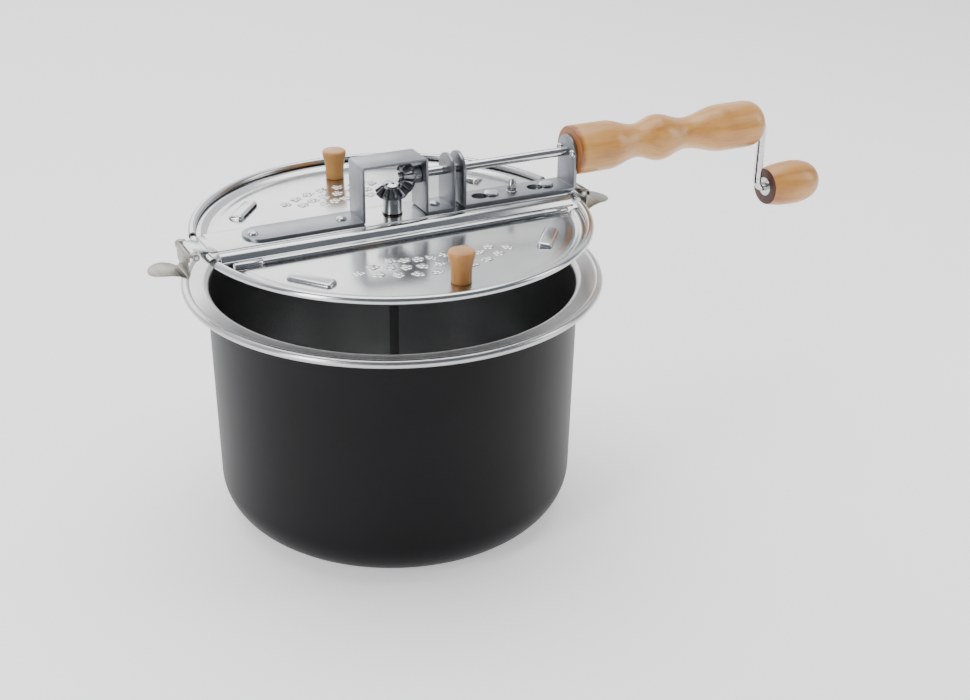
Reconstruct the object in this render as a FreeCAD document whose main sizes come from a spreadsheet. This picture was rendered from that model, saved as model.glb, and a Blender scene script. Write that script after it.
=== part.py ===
import FreeCAD, Part
import math
import os
import re
import Sketcher

# Stovetop popcorn maker: an aluminium pot, a lid made of a crossbar with two hinged half-lids, two spring
# clips, and a crank that runs through a wooden handle and turns a wire stirrer through bevel gears.
# Millimetres. The origin is the centre of the pot's base, +X runs along the handle and +Z is up.
# The lid stands lifted above the pot. Heights on it are measured from lid_z, the centre of its rim bead.

SIZES = [
    ("pot_base_r", 108.1, "outside of the pot wall at the base"),
    ("pot_top_r", 109.6, "outside of the pot wall under the flange"),
    ("pot_wall", 1.8, "pot sheet thickness"),
    ("pot_corner", 26.0, "outer corner radius of the base"),
    ("pot_mouth", 4.0, "radius from the wall to the flange, inside"),
    ("pot_bead_r", 121.5, "centre of the pot's rolled rim"),
    ("pot_bead_z", 149.0, "height of the centre of the pot's rolled rim"),
    ("pot_bead_tube", 2.5, "radius of the rolled rim"),
    ("flange_z", 149.4, "top of the flange that the lid rests on"),
    ("lid_z", 182.3, "height of the lid's rim bead centre at rest"),
    ("lid_sheet", 0.8, "half-lid sheet thickness"),
    ("lid_bead_r", 115.2, "centre of the lid's curled rim"),
    ("lid_bead_tube", 2.3, "outside radius of the curl"),
    ("lid_plate_z", -4.2, "underside of the flat plate"),
    ("lid_gutter_z", -4.6, "underside of the locating step"),
    ("lid_cut_y", 24.0, "where each half-lid is cut off straight"),
    ("lid_notch_y", 26.0, "cut-back of the plate along the crossbar's barrel"),
    ("hinge_y", 23.6, "hinge axis of each half-lid"),
    ("hinge_z", -2.3, "height of the hinge axis"),
    ("knuckle_r", 1.9, "outside of the hinge barrels"),
    ("wire_r", 1.0, "hinge wire and clip pin radius"),
    ("run_gap", 0.05, "radial clearance of the running fits"),
    ("barrel_end", 87.7, "half length of the crossbar's barrels"),
    ("knuckle_start", 88.0, "inner end of the half-lid's knuckles"),
    ("knuckle_end", 104.0, "outer end of the half-lid's knuckles"),
    ("vent_r", 87.3, "raised edge of the steam vents"),
    ("vent_depth", 9.2, "radial size of a vent"),
    ("vent_length", 28.0, "length of a vent along the rim"),
    ("vent_angle", 38.4, "angle of the vents from the crossbar"),
    ("vent_rise", 2.8, "height of the vent's raised edge"),
    ("bar_sheet", 1.0, "crossbar sheet thickness"),
    ("bar_top_z", 4.0, "top of the crossbar"),
    ("bar_flat_y", 13.0, "half width of the crossbar's flat top"),
    ("bar_shoulder_x", 109.5, "half length of the crossbar's shoulders"),
    ("strap_end_x", 113.0, "half length of the full-width strap"),
    ("clip_pin_x", 121.5, "clip pin axis"),
    ("clip_pin_z", 2.0, "height of the clip pin axis"),
    ("clip_knuckle_r", 2.0, "outside of the clip barrels"),
    ("clip_inner_y", 9.0, "half length of the crossbar's clip barrel"),
    ("clip_outer_y", 13.3, "outer end of a clip's knuckles"),
    ("clip_tab_y", 10.0, "half width of a clip's leg and finger tab"),
    ("clip_sheet", 0.8, "clip sheet thickness"),
    ("clip_leg_x", 3.7, "inner face of a clip's leg, from its pin"),
    ("clip_leg_z", -7.9, "lower end of the straight leg, from the pin"),
    ("clip_hook_z", -10.0, "height of the hooking bend, from the pin"),
    ("clip_foot_z", -13.2, "underside of the fold at the leg's foot, from the pin"),
    ("clip_arch_x", 14.0, "top of the tab's arch, from the pin"),
    ("clip_arch_z", -8.5, "height of the tab's arch, from the pin"),
    ("clip_tip_x", 24.0, "tip of the tab, from the pin"),
    ("clip_tip_z", -10.6, "height of the tip, from the pin"),
    ("bracket_sheet", 1.5, "gear bracket sheet thickness"),
    ("bracket_y", 10.3, "half width of the gear bracket"),
    ("bracket_top_z", 38.0, "top of the gear bracket"),
    ("bracket_tail_x", -91.0, "left end of the gear bracket"),
    ("bracket_left_x", -22.5, "outside of its left leg"),
    ("bracket_right_x", 18.5, "outside of its right leg"),
    ("bracket_ear_x", 36.0, "outside of its ear"),
    ("holder_sheet", 2.0, "handle bracket sheet thickness"),
    ("holder_y", 10.3, "half width of the handle bracket"),
    ("holder_start_x", 41.0, "inner ear of the handle bracket"),
    ("holder_end_x", 117.5, "outer ear of the handle bracket"),
    ("keyhole_r", 4.8, "large end of the keyholes"),
    ("keyslot_r", 2.5, "half width of the keyhole slots"),
    ("keyhole_step", 8.0, "from the large end to the rivet"),
    ("axis_z", 26.0, "crank axis above the lid plane"),
    ("rod_r", 2.75, "crank rod and stirrer shaft radius"),
    ("rod_start_x", 3.0, "inner end of the crank rod"),
    ("crank_x", 262.5, "crank arm position"),
    ("crank_throw", 46.0, "length of the crank arm"),
    ("crank_bend", 6.0, "bend radius of the crank rod"),
    ("crank_end_x", 302.5, "outer end of the crank rod"),
    ("grip_straight_x", 142.0, "end of the straight part next to the bracket"),
    ("grip_first_neck_x", 164.0, "first finger neck"),
    ("grip_bulge_x", 180.0, "middle bulge"),
    ("grip_second_neck_x", 200.0, "second finger neck"),
    ("grip_tail_x", 228.0, "start of the thick outer end"),
    ("grip_round_x", 246.0, "start of the rounded outer end"),
    ("grip_end_x", 257.5, "outer end of the wooden handle"),
    ("grip_bore_r", 3.2, "bore of the wooden handle"),
    ("grip_screw_y", 7.6, "handle screws, to each side of the rod"),
    ("grip_screw_r", 1.6, "handle screw shank radius"),
    ("grip_screw_head_r", 2.9, "handle screw head radius"),
    ("grip_screw_length", 17.0, "depth of the handle screws in the wood"),
    ("grip_end_r", 15.15, "handle radius at the bracket"),
    ("grip_neck_r", 10.4, "handle radius at its first neck"),
    ("grip_thin_r", 9.9, "handle radius at its second neck"),
    ("grip_bulge_r", 14.4, "handle radius at its middle bulge"),
    ("grip_tail_r", 14.95, "handle radius at its outer bulge"),
    ("knob_start_x", 269.0, "inner face of the crank knob"),
    ("knob_end_x", 310.5, "tip of the crank knob"),
    ("knob_face_r", 11.3, "radius of the crank knob's inner face"),
    ("knob_max_r", 14.5, "largest radius of the crank knob"),
    ("ferrule_r", 6.0, "outside of the knob's ferrule"),
    ("lid_knob_y", 91.5, "lid knob position"),
    ("lid_knob_height", 18.5, "height of a lid knob"),
    ("lid_knob_top_r", 7.5, "largest radius of a lid knob"),
    ("lid_knob_base_r", 5.75, "radius of a lid knob at its base"),
    ("screw_r", 1.7, "knob screw radius"),
    ("gear_teeth", 9, "teeth on each bevel gear"),
    ("gear_pitch_r", 9.5, "outer pitch radius, equal to the distance from the gears' common point"),
    ("gear_face", 6.0, "length of the teeth along the cone"),
    ("tooth_above", 1.3, "tooth height outside the pitch cone"),
    ("tooth_below", 1.7, "tooth height inside the pitch cone"),
    ("tooth_half", 1.05, "half thickness of a tooth at the pitch cone"),
    ("hub_r", 5.5, "gear hub radius"),
    ("bush_r", 4.0, "stirrer bush radius"),
    ("wire_z", -147.9, "height of the stirrer wire"),
    ("stir_wire_r", 1.5, "stirrer wire radius"),
    ("shaft_foot", 1.9, "from the stirrer wire to the end of its shaft"),
    ("stir_reach", 92.0, "reach of the stirrer's arms"),
    ("stir_knee", 78.0, "where the arms turn up"),
    ("stir_rise", 9.0, "height of the arms' tips"),
]

doc = FreeCAD.newDocument("popcorn_maker")
sheet = doc.addObject("Spreadsheet::Sheet", "sizes")
for row, (alias, number, note) in enumerate(SIZES, 1):
    sheet.set("A%d" % row, alias)
    sheet.set("B%d" % row, str(number))
    sheet.set("C%d" % row, note)
    sheet.setAlias("B%d" % row, alias)
doc.recompute()

RIVET_X = ("bracket_tail_x + 6", "bracket_left_x - 9.5", "bracket_right_x + 8.5")
RIVET_R = "1.6"
SHOULDER_X = ("holder_start_x + 23.5", "holder_end_x - 15.5")
STUD_X = "(holder_start_x + holder_end_x) / 2 - 0.75"
STUD_R = "1.5"
GEAR_PIN_X = "14"
HUB_FOOT = "(bar_top_z + 0.9)"

PARTS = []


def bound(text):
    """An expression on the sheet's cells: every alias has an underscore in it."""
    return re.sub(r"\b([a-z]+_\w+)\b", r"sizes.\1", str(text))


def size(text):
    """The number that such an expression gives now."""
    found = sheet.evalExpression(bound(text))
    return float(getattr(found, "Value", found))


# ---------------------------------------------------------------- features

def new_body(name, place=("0", "0", "0")):
    """One piece as a PartDesign body, standing at a place bound to the sheet."""
    body = doc.addObject("PartDesign::Body", name)
    body.Label = name
    for axis, text in zip("xyz", place):
        body.setExpression("Placement.Base." + axis, bound(text))
    PARTS.append(body)
    return body


def new_sketch(body, role, offset="0", turn="0", turn_axis=(0, 0, 1)):
    """A sketch on one of the body's own origin planes, moved along its normal and turned."""
    sketch = body.newObject("Sketcher::SketchObject", body.Name + "_sketch")
    plane = [item for item in body.Origin.OriginFeatures if item.Role == role][0]
    sketch.AttachmentSupport = [(plane, "")]
    sketch.MapMode = "FlatFace"
    turned = FreeCAD.Rotation(FreeCAD.Vector(*turn_axis), size(turn))
    sketch.AttachmentOffset = FreeCAD.Placement(FreeCAD.Vector(0, 0, size(offset)), turned)
    sketch.setExpression("AttachmentOffset.Base.z", bound(offset))
    if turn != "0":
        sketch.setExpression("AttachmentOffset.Rotation.Angle", bound(turn))
    return sketch


def pin_point(sketch, edge, end, x, y):
    """Fix one end of an edge at a place bound to the sheet."""
    for kind, text in (("DistanceX", x), ("DistanceY", y)):
        index = sketch.addConstraint(Sketcher.Constraint(kind, -1, 1, edge, end, size(text)))
        sketch.setExpression("Constraints[%d]" % index, bound(text))


def draw_loop(sketch, points):
    """A closed outline of straight edges through the given points."""
    corners = [FreeCAD.Vector(size(x), size(y), 0) for x, y in points]
    first = sketch.GeometryCount
    count = len(corners)
    for here, there in zip(corners, corners[1:] + corners[:1]):
        sketch.addGeometry(Part.LineSegment(here, there), False)
    for index in range(count):
        after = first + (index + 1) % count
        sketch.addConstraint(Sketcher.Constraint("Coincident", first + index, 2, after, 1))
    for index, (x, y) in enumerate(points):
        pin_point(sketch, first + index, 1, x, y)


def draw_circle(sketch, x, y, radius):
    """A circle with its centre and radius bound to the sheet."""
    centre = FreeCAD.Vector(size(x), size(y), 0)
    edge = sketch.addGeometry(Part.Circle(centre, FreeCAD.Vector(0, 0, 1), size(radius)), False)
    pin_point(sketch, edge, 3, x, y)
    index = sketch.addConstraint(Sketcher.Constraint("Radius", edge, size(radius)))
    sketch.setExpression("Constraints[%d]" % index, bound(radius))


def checked(body, feature, grows):
    """Recompute and make sure that the feature really added or removed material."""
    before = body.BaseVolume if hasattr(body, "BaseVolume") else 0.0
    doc.recompute()
    volume = body.Shape.Volume
    if (volume > before) != grows or abs(volume - before) < 1e-6:
        raise RuntimeError("%s: %s changed nothing" % (body.Name, feature.Name))
    if not hasattr(body, "BaseVolume"):
        body.addProperty("App::PropertyFloat", "BaseVolume", "Check", "volume after the last feature")
    body.BaseVolume = volume
    return feature


def pad(body, sketch, length, both=True, back=False):
    """Add the sketch's area over a length, to both sides alike or to one."""
    feature = body.newObject("PartDesign::Pad", body.Name + "_pad")
    feature.Profile = sketch
    feature.Midplane = both
    feature.Reversed = back
    feature.setExpression("Length", bound(length))
    return checked(body, feature, True)


def pocket(body, sketch, length, both=True, back=False):
    """Cut the sketch's area away over a length, to both sides alike or to one."""
    feature = body.newObject("PartDesign::Pocket", body.Name + "_pocket")
    feature.Profile = sketch
    feature.Midplane = both
    feature.Reversed = back
    feature.setExpression("Length", bound(length))
    return checked(body, feature, False)


def turned(body, sketch, axis="V_Axis", angle="360", both=False):
    """Turn the sketch's area round one of its own axes."""
    feature = body.newObject("PartDesign::Revolution", body.Name + "_turned")
    feature.Profile = sketch
    feature.ReferenceAxis = (sketch, [axis])
    feature.Midplane = both
    feature.setExpression("Angle", bound(angle))
    return checked(body, feature, True)


def rounded(body, radius, wanted):
    """Round the edges of the body's tip for which wanted(edge) is true."""
    base = body.Tip
    names = ["Edge%d" % (index + 1) for index, edge in enumerate(base.Shape.Edges) if wanted(edge)]
    if not names:
        raise RuntimeError(body.Name + ": no edge to round")
    feature = body.newObject("PartDesign::Fillet", body.Name + "_fillet")
    feature.Base = (base, names)
    feature.setExpression("Radius", bound(radius))
    doc.recompute()
    body.BaseVolume = body.Shape.Volume
    return feature


def ring_at(radius, height):
    """Picks the round edges of a given radius at a given height."""
    def wanted(edge):
        if not isinstance(edge.Curve, Part.Circle):
            return False
        centre = edge.Curve.Center
        return abs(edge.Curve.Radius - size(radius)) < 0.01 and abs(centre.z - size(height)) < 0.01
    return wanted


def straight_at(**places):
    """Picks the straight edges that run along one axis through the given places on the other two."""
    def wanted(edge):
        if not isinstance(edge.Curve, Part.Line):
            return False
        ends = [vertex.Point for vertex in edge.Vertexes]
        for axis, text in places.items():
            if any(abs(abs(getattr(point, axis)) - abs(size(text))) > 0.01 for point in ends):
                return False
            if any(getattr(point, axis) * size(text) < 0 for point in ends) and axis != "y":
                return False
        return True
    return wanted


def rod_pipe(body, points, bend, radius):
    """A round rod along straight runs joined by bends of one radius."""
    path = new_sketch(body, "XZ_Plane")
    ends = []
    for index, (x, y) in enumerate(points):
        here = FreeCAD.Vector(size(x), size(y), 0)
        if index in (0, len(points) - 1):
            ends.append([(x, y)])
            continue
        before = FreeCAD.Vector(size(points[index - 1][0]), size(points[index - 1][1]), 0)
        after = FreeCAD.Vector(size(points[index + 1][0]), size(points[index + 1][1]), 0)
        inward = (before - here).normalize()
        outward = (after - here).normalize()
        reach = size(bend) / math.tan(inward.getAngle(outward) / 2)
        ends.append([
            ("%s + %.6f" % (x, inward.x * reach), "%s + %.6f" % (y, inward.y * reach)),
            ("%s + %.6f" % (x, outward.x * reach), "%s + %.6f" % (y, outward.y * reach)),
        ])
    runs = []
    for here, there in zip(ends, ends[1:]):
        start = FreeCAD.Vector(size(here[-1][0]), size(here[-1][1]), 0)
        stop = FreeCAD.Vector(size(there[0][0]), size(there[0][1]), 0)
        edge = path.addGeometry(Part.LineSegment(start, stop), False)
        pin_point(path, edge, 1, *here[-1])
        pin_point(path, edge, 2, *there[0])
        runs.append((edge, start, stop))
    for (first, start, corner_in), (second, corner_out, stop) in zip(runs, runs[1:]):
        heading = (corner_in - start).normalize()
        leaving = (stop - corner_out).normalize()
        left = heading.x * leaving.y - heading.y * leaving.x > 0
        side = FreeCAD.Vector(-heading.y, heading.x, 0) * (1 if left else -1)
        centre = corner_in + side * size(bend)
        low, high = (corner_in, corner_out) if left else (corner_out, corner_in)
        angles = [math.atan2(end.y - centre.y, end.x - centre.x) for end in (low, high)]
        circle = Part.Circle(centre, FreeCAD.Vector(0, 0, 1), size(bend))
        arc = path.addGeometry(Part.ArcOfCircle(circle, angles[0], angles[1]), False)
        near, far = (1, 2) if left else (2, 1)
        path.addConstraint(Sketcher.Constraint("Coincident", first, 2, arc, near))
        path.addConstraint(Sketcher.Constraint("Coincident", second, 1, arc, far))
        index = path.addConstraint(Sketcher.Constraint("Radius", arc, size(bend)))
        path.setExpression("Constraints[%d]" % index, bound(bend))
    section = new_sketch(body, "YZ_Plane", points[0][0])
    draw_circle(section, "0", points[0][1], radius)
    feature = body.newObject("PartDesign::AdditivePipe", body.Name + "_pipe")
    feature.Profile = section
    feature.Spine = path
    return checked(body, feature, True)


# ---------------------------------------------------------------- pot

def make_pot():
    """Drawn aluminium pot: flat base, near-straight wall, flange and a rolled rim."""
    pot = new_body("pot")
    wall = new_sketch(pot, "XZ_Plane")
    draw_loop(wall, [
        ("0", "0"),
        ("pot_base_r", "0"),
        ("pot_top_r", "flange_z - pot_wall"),
        ("pot_bead_r", "flange_z - pot_wall"),
        ("pot_bead_r", "flange_z"),
        ("pot_top_r - pot_wall", "flange_z"),
        ("pot_base_r - pot_wall", "pot_wall"),
        ("0", "pot_wall"),
    ])
    turned(pot, wall)
    rounded(pot, "pot_corner - pot_wall", ring_at("pot_base_r - pot_wall", "pot_wall"))
    rounded(pot, "pot_corner", ring_at("pot_base_r", "0"))
    rounded(pot, "pot_mouth", ring_at("pot_top_r - pot_wall", "flange_z"))
    rounded(pot, "pot_mouth - pot_wall", ring_at("pot_top_r", "flange_z - pot_wall"))
    rim = new_sketch(pot, "XZ_Plane")
    draw_circle(rim, "pot_bead_r", "pot_bead_z", "pot_bead_tube")
    turned(pot, rim)


# ---------------------------------------------------------------- crossbar

def mirrored(points):
    """A half outline and its mirror image in the sketch's vertical axis."""
    return points + [("-(%s)" % x, y) for x, y in reversed(points)]


def make_crossbar():
    """Pressed strap across the lid: raised flat, shoulders, hinge barrels and two clip barrels."""
    bar = new_body("crossbar", ("0", "0", "lid_z"))
    shoulders = new_sketch(bar, "YZ_Plane")
    low = "hinge_z + knuckle_r"
    draw_loop(shoulders, mirrored([
        ("bar_flat_y", "bar_top_z"),
        ("hinge_y - 2.6", low),
        ("hinge_y - 2.6", low + " - bar_sheet"),
        ("hinge_y - 3", low + " - bar_sheet"),
        ("bar_flat_y - 0.4", "bar_top_z - bar_sheet"),
    ]))
    pad(bar, shoulders, "2 * bar_shoulder_x")
    for side in ("-", ""):
        lip = new_sketch(bar, "YZ_Plane")
        draw_loop(lip, [
            (side + "(hinge_y - 2.8)", low),
            (side + "(hinge_y)", low),
            (side + "(hinge_y)", low + " - bar_sheet"),
            (side + "(hinge_y - 2.8)", low + " - bar_sheet"),
        ])
        pad(bar, lip, "2 * barrel_end")
        barrel = new_sketch(bar, "YZ_Plane")
        draw_circle(barrel, side + "(hinge_y)", "hinge_z", "knuckle_r")
        pad(bar, barrel, "2 * barrel_end")
        bore = new_sketch(bar, "YZ_Plane")
        draw_circle(bore, side + "(hinge_y)", "hinge_z", "wire_r")
        pocket(bar, bore, "2 * barrel_end + 2")
    strap = new_sketch(bar, "XZ_Plane")
    draw_loop(strap, [
        ("-strap_end_x", "bar_top_z - bar_sheet"),
        ("strap_end_x", "bar_top_z - bar_sheet"),
        ("strap_end_x", "bar_top_z"),
        ("-strap_end_x", "bar_top_z"),
    ])
    pad(bar, strap, "2 * bar_flat_y")
    for side in ("-", ""):
        tongue = new_sketch(bar, "XZ_Plane")
        draw_loop(tongue, [
            (side + "(strap_end_x - 2)", "bar_top_z - bar_sheet"),
            (side + "(clip_pin_x)", "bar_top_z - bar_sheet"),
            (side + "(clip_pin_x)", "bar_top_z"),
            (side + "(strap_end_x - 2)", "bar_top_z"),
        ])
        pad(bar, tongue, "2 * clip_inner_y")
        barrel = new_sketch(bar, "XZ_Plane")
        draw_circle(barrel, side + "(clip_pin_x)", "clip_pin_z", "clip_knuckle_r")
        pad(bar, barrel, "2 * clip_inner_y")
        bore = new_sketch(bar, "XZ_Plane")
        draw_circle(bore, side + "(clip_pin_x)", "clip_pin_z", "wire_r")
        pocket(bar, bore, "2 * clip_inner_y + 2")
        rim = new_sketch(bar, "XZ_Plane")
        draw_circle(rim, side + "(lid_bead_r)", "0", "lid_bead_tube")
        draw_circle(rim, side + "(lid_bead_r)", "0", "lid_bead_tube - lid_sheet")
        turned(bar, rim, angle="2 * asin((hinge_y - 5.3) / lid_bead_r)", both=True)
        web = new_sketch(bar, "XZ_Plane")
        draw_loop(web, [
            (side + "(lid_bead_r - 1)", "lid_bead_tube - 0.6"),
            (side + "(lid_bead_r + 1)", "lid_bead_tube - 0.6"),
            (side + "(lid_bead_r + 1)", "bar_top_z - bar_sheet + 0.2"),
            (side + "(lid_bead_r - 1)", "bar_top_z - bar_sheet + 0.2"),
        ])
        pad(bar, web, "2 * clip_inner_y")
    holes = new_sketch(bar, "XY_Plane", "bar_top_z")
    draw_circle(holes, "0", "0", "bush_r")
    for x in RIVET_X:
        draw_circle(holes, x, "0", RIVET_R)
    for x in SHOULDER_X:
        draw_circle(holes, x, "0", RIVET_R)
    draw_circle(holes, STUD_X, "0", STUD_R)
    pocket(bar, holes, "4 * bar_sheet")


def make_rod_straight(name, place, direction, start, stop, radius):
    """A plain round pin along X, Y or Z."""
    role = {"x": "YZ_Plane", "y": "XZ_Plane", "z": "XY_Plane"}[direction]
    body = new_body(name, place)
    back = "-" if direction == "y" else ""
    section = new_sketch(body, role, "%s(%s)" % (back, stop))
    draw_circle(section, "0", "0", radius)
    pad(body, section, "(%s) - (%s)" % (stop, start), both=False, back=direction != "y")
    return body


def make_hinge_wires():
    """One long wire hinges each half-lid to the crossbar."""
    for name, side in (("front_hinge_wire", "-"), ("rear_hinge_wire", "")):
        place = ("0", side + "hinge_y", "lid_z + hinge_z")
        make_rod_straight(name, place, "x", "-knuckle_end", "knuckle_end", "wire_r")


def make_clip_pins():
    """The two clip pins, one at each end of the crossbar."""
    for name, side in (("left_clip_pin", "-"), ("right_clip_pin", "")):
        pin = new_body(name, (side + "clip_pin_x", "0", "lid_z + clip_pin_z"))
        section = new_sketch(pin, "XZ_Plane")
        draw_circle(section, "0", "0", "wire_r")
        pad(pin, section, "2 * clip_outer_y")


# ---------------------------------------------------------------- half-lids

def make_half_lid(name, side):
    """Pressed half-disc: curled rim, locating step, flat plate, hinge knuckles and two steam vents."""
    lid = new_body(name, ("0", "0", "lid_z"))
    disc = new_sketch(lid, "XZ_Plane")
    draw_loop(disc, [
        ("0", "lid_plate_z"),
        ("101", "lid_plate_z"),
        ("103", "lid_gutter_z"),
        ("107.2", "lid_gutter_z"),
        ("108.4", "-3.8"),
        ("110", "-2.6"),
        ("112.6", "-lid_bead_tube"),
        ("lid_bead_r", "-lid_bead_tube"),
        ("lid_bead_r", "lid_sheet - lid_bead_tube"),
        ("112.3", "lid_sheet - lid_bead_tube"),
        ("109.7", "lid_sheet - 2.6"),
        ("108", "lid_sheet - 3.8"),
        ("106.8", "lid_gutter_z + lid_sheet"),
        ("103", "lid_gutter_z + lid_sheet"),
        ("101", "lid_plate_z + lid_sheet"),
        ("0", "lid_plate_z + lid_sheet"),
    ])
    turned(lid, disc)
    curl = new_sketch(lid, "XZ_Plane")
    draw_circle(curl, "lid_bead_r", "0", "lid_bead_tube")
    draw_circle(curl, "lid_bead_r", "0", "lid_bead_tube - lid_sheet")
    turned(lid, curl)
    straight = new_sketch(lid, "XY_Plane")
    far = "%s1 * 130" % ("" if side == "-" else "-")
    draw_loop(straight, [
        ("-130", side + "lid_cut_y"),
        ("-barrel_end", side + "lid_cut_y"),
        ("-barrel_end", side + "lid_notch_y"),
        ("barrel_end", side + "lid_notch_y"),
        ("barrel_end", side + "lid_cut_y"),
        ("130", side + "lid_cut_y"),
        ("130", far),
        ("-130", far),
    ])
    pocket(lid, straight, "20")
    for left in (True, False):
        middle = "(knuckle_start + knuckle_end) / 2"
        if left:
            middle = "-" + middle
        knuckle = new_sketch(lid, "YZ_Plane", middle)
        draw_circle(knuckle, side + "hinge_y", "hinge_z", "knuckle_r")
        pad(lid, knuckle, "knuckle_end - knuckle_start")
        tongue = new_sketch(lid, "YZ_Plane", middle)
        draw_loop(tongue, [
            (side + "hinge_y", "hinge_z - knuckle_r"),
            (side + "(hinge_y + 3)", "hinge_z - knuckle_r"),
            (side + "(hinge_y + 3)", "hinge_z - knuckle_r + lid_sheet"),
            (side + "hinge_y", "hinge_z - knuckle_r + lid_sheet"),
        ])
        pad(lid, tongue, "knuckle_end - knuckle_start")
        bore = new_sketch(lid, "YZ_Plane", middle)
        draw_circle(bore, side + "hinge_y", "hinge_z", "wire_r + run_gap")
        pocket(lid, bore, "knuckle_end - knuckle_start + 1")
        make_vent(lid, side + ("(180 - vent_angle)" if left else "vent_angle"))
    hole = new_sketch(lid, "XY_Plane", "lid_plate_z")
    draw_circle(hole, "0", side + "lid_knob_y", "screw_r + 0.2")
    pocket(lid, hole, "6 * lid_sheet")


def make_vent(lid, angle):
    """A louvre: a slot in the plate under a strip that rises towards the middle of the lid."""
    slot = new_sketch(lid, "XY_Plane", "lid_plate_z", angle)
    draw_loop(slot, [
        ("vent_r", "-(vent_length / 2 - 1)"),
        ("vent_r + vent_depth - 2", "-(vent_length / 2 - 1)"),
        ("vent_r + vent_depth - 2", "vent_length / 2 - 1"),
        ("vent_r", "vent_length / 2 - 1"),
    ])
    pocket(lid, slot, "6 * lid_sheet")
    hood = new_sketch(lid, "XZ_Plane", "0", angle, (0, 1, 0))
    draw_loop(hood, [
        ("vent_r", "lid_plate_z + vent_rise"),
        ("vent_r + vent_depth", "lid_plate_z"),
        ("vent_r + vent_depth", "lid_plate_z + lid_sheet"),
        ("vent_r", "lid_plate_z + vent_rise + lid_sheet"),
    ])
    pad(lid, hood, "vent_length")


def make_lid_knob(prefix, side):
    """A turned wooden knob and the screw that holds it from below the plate."""
    knob = new_body(prefix + "_lid_knob", ("0", side + "lid_knob_y", "lid_z + lid_plate_z + lid_sheet"))
    outline = new_sketch(knob, "XZ_Plane")
    draw_loop(outline, [
        ("0", "0"),
        ("lid_knob_base_r", "0"),
        ("lid_knob_base_r - 0.4", "0.25 * lid_knob_height"),
        ("lid_knob_base_r + 0.1", "0.5 * lid_knob_height"),
        ("lid_knob_top_r - 0.4", "0.72 * lid_knob_height"),
        ("lid_knob_top_r", "0.84 * lid_knob_height"),
        ("lid_knob_top_r - 0.8", "0.95 * lid_knob_height"),
        ("lid_knob_top_r - 2.8", "lid_knob_height"),
        ("0", "lid_knob_height"),
    ])
    turned(knob, outline)
    bore = new_sketch(knob, "XY_Plane")
    draw_circle(bore, "0", "0", "screw_r")
    pocket(knob, bore, "2 * 12")
    screw = new_body(prefix + "_knob_screw", ("0", side + "lid_knob_y", "lid_z + lid_plate_z"))
    outline = new_sketch(screw, "XZ_Plane")
    draw_loop(outline, [
        ("0", "-2"),
        ("3", "-2"),
        ("3.6", "-1.2"),
        ("3.6", "0"),
        ("screw_r", "0"),
        ("screw_r", "11"),
        ("0", "12"),
    ])
    turned(screw, outline)


# ---------------------------------------------------------------- clips

def make_clip(name, side):
    """Spring clip: two knuckles on the pin, a leg with a hooking bend and an arched finger tab."""
    clip = new_body(name, (side + "clip_pin_x", "0", "lid_z + clip_pin_z"))
    sign = "-" if side == "-" else ""
    barrel = new_sketch(clip, "XZ_Plane")
    draw_circle(barrel, "0", "0", "clip_knuckle_r")
    pad(clip, barrel, "2 * clip_outer_y")
    knuckle = new_sketch(clip, "XZ_Plane")
    draw_loop(knuckle, [(sign + "(%s)" % x, y) for x, y in (
        ("0", "clip_knuckle_r"),
        ("clip_leg_x - 0.6", "clip_knuckle_r"),
        ("clip_leg_x + clip_sheet", "clip_knuckle_r - 1.4"),
        ("clip_leg_x + clip_sheet", "-clip_knuckle_r"),
        ("clip_leg_x", "-clip_knuckle_r"),
        ("clip_leg_x", "clip_knuckle_r - 1.7"),
        ("clip_leg_x - 0.9", "clip_knuckle_r - clip_sheet"),
        ("0", "clip_knuckle_r - clip_sheet"),
    )])
    pad(clip, knuckle, "2 * clip_outer_y")
    leg = new_sketch(clip, "XZ_Plane")
    draw_loop(leg, [(sign + "(%s)" % x, y) for x, y in (
        ("clip_leg_x + clip_sheet", "-clip_knuckle_r + 0.5"),
        ("clip_leg_x + clip_sheet", "clip_leg_z"),
        ("clip_leg_x - 0.1", "clip_hook_z"),
        ("clip_leg_x + 0.9", "clip_foot_z + clip_sheet + 0.1"),
        ("clip_leg_x + 2.5", "clip_foot_z + clip_sheet"),
        ("clip_leg_x + 2.5", "clip_foot_z"),
        ("clip_leg_x + 0.6", "clip_foot_z"),
        ("clip_leg_x - 0.9", "clip_hook_z"),
        ("clip_leg_x", "clip_leg_z"),
        ("clip_leg_x", "-clip_knuckle_r + 0.5"),
    )])
    pad(clip, leg, "2 * clip_tab_y")
    gap = new_sketch(clip, "XZ_Plane")
    draw_loop(gap, [(sign + "(%s)" % x, y) for x, y in (
        ("-3", "-3"),
        ("2.7", "-3"),
        ("2.7", "3"),
        ("-3", "3"),
    )])
    pocket(clip, gap, "2 * (clip_inner_y + 0.3)")
    bore = new_sketch(clip, "XZ_Plane")
    draw_circle(bore, "0", "0", "wire_r + run_gap")
    pocket(clip, bore, "2 * clip_outer_y + 2")
    tab = new_sketch(clip, "XZ_Plane")
    top = [
        ("clip_leg_x + 1.7", "clip_foot_z + clip_sheet"),
        ("(clip_leg_x + 1.7 + clip_arch_x) / 2", "clip_arch_z - 1.3"),
        ("clip_arch_x", "clip_arch_z"),
        ("(clip_arch_x + clip_tip_x) / 2", "clip_arch_z - 0.4"),
        ("clip_tip_x", "clip_tip_z"),
    ]
    under = [(x, y + " - clip_sheet") for x, y in reversed(top)]
    draw_loop(tab, [(sign + "(%s)" % x, y) for x, y in top + under])
    pad(clip, tab, "2 * clip_tab_y")
    centre = sign + "(clip_tip_x - clip_tab_y)"
    round_end(clip, centre, sign + "(clip_tab_y)", "clip_tab_y", "clip_hook_z", "2 * clip_arch_z * -1")


# ---------------------------------------------------------------- brackets

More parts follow.
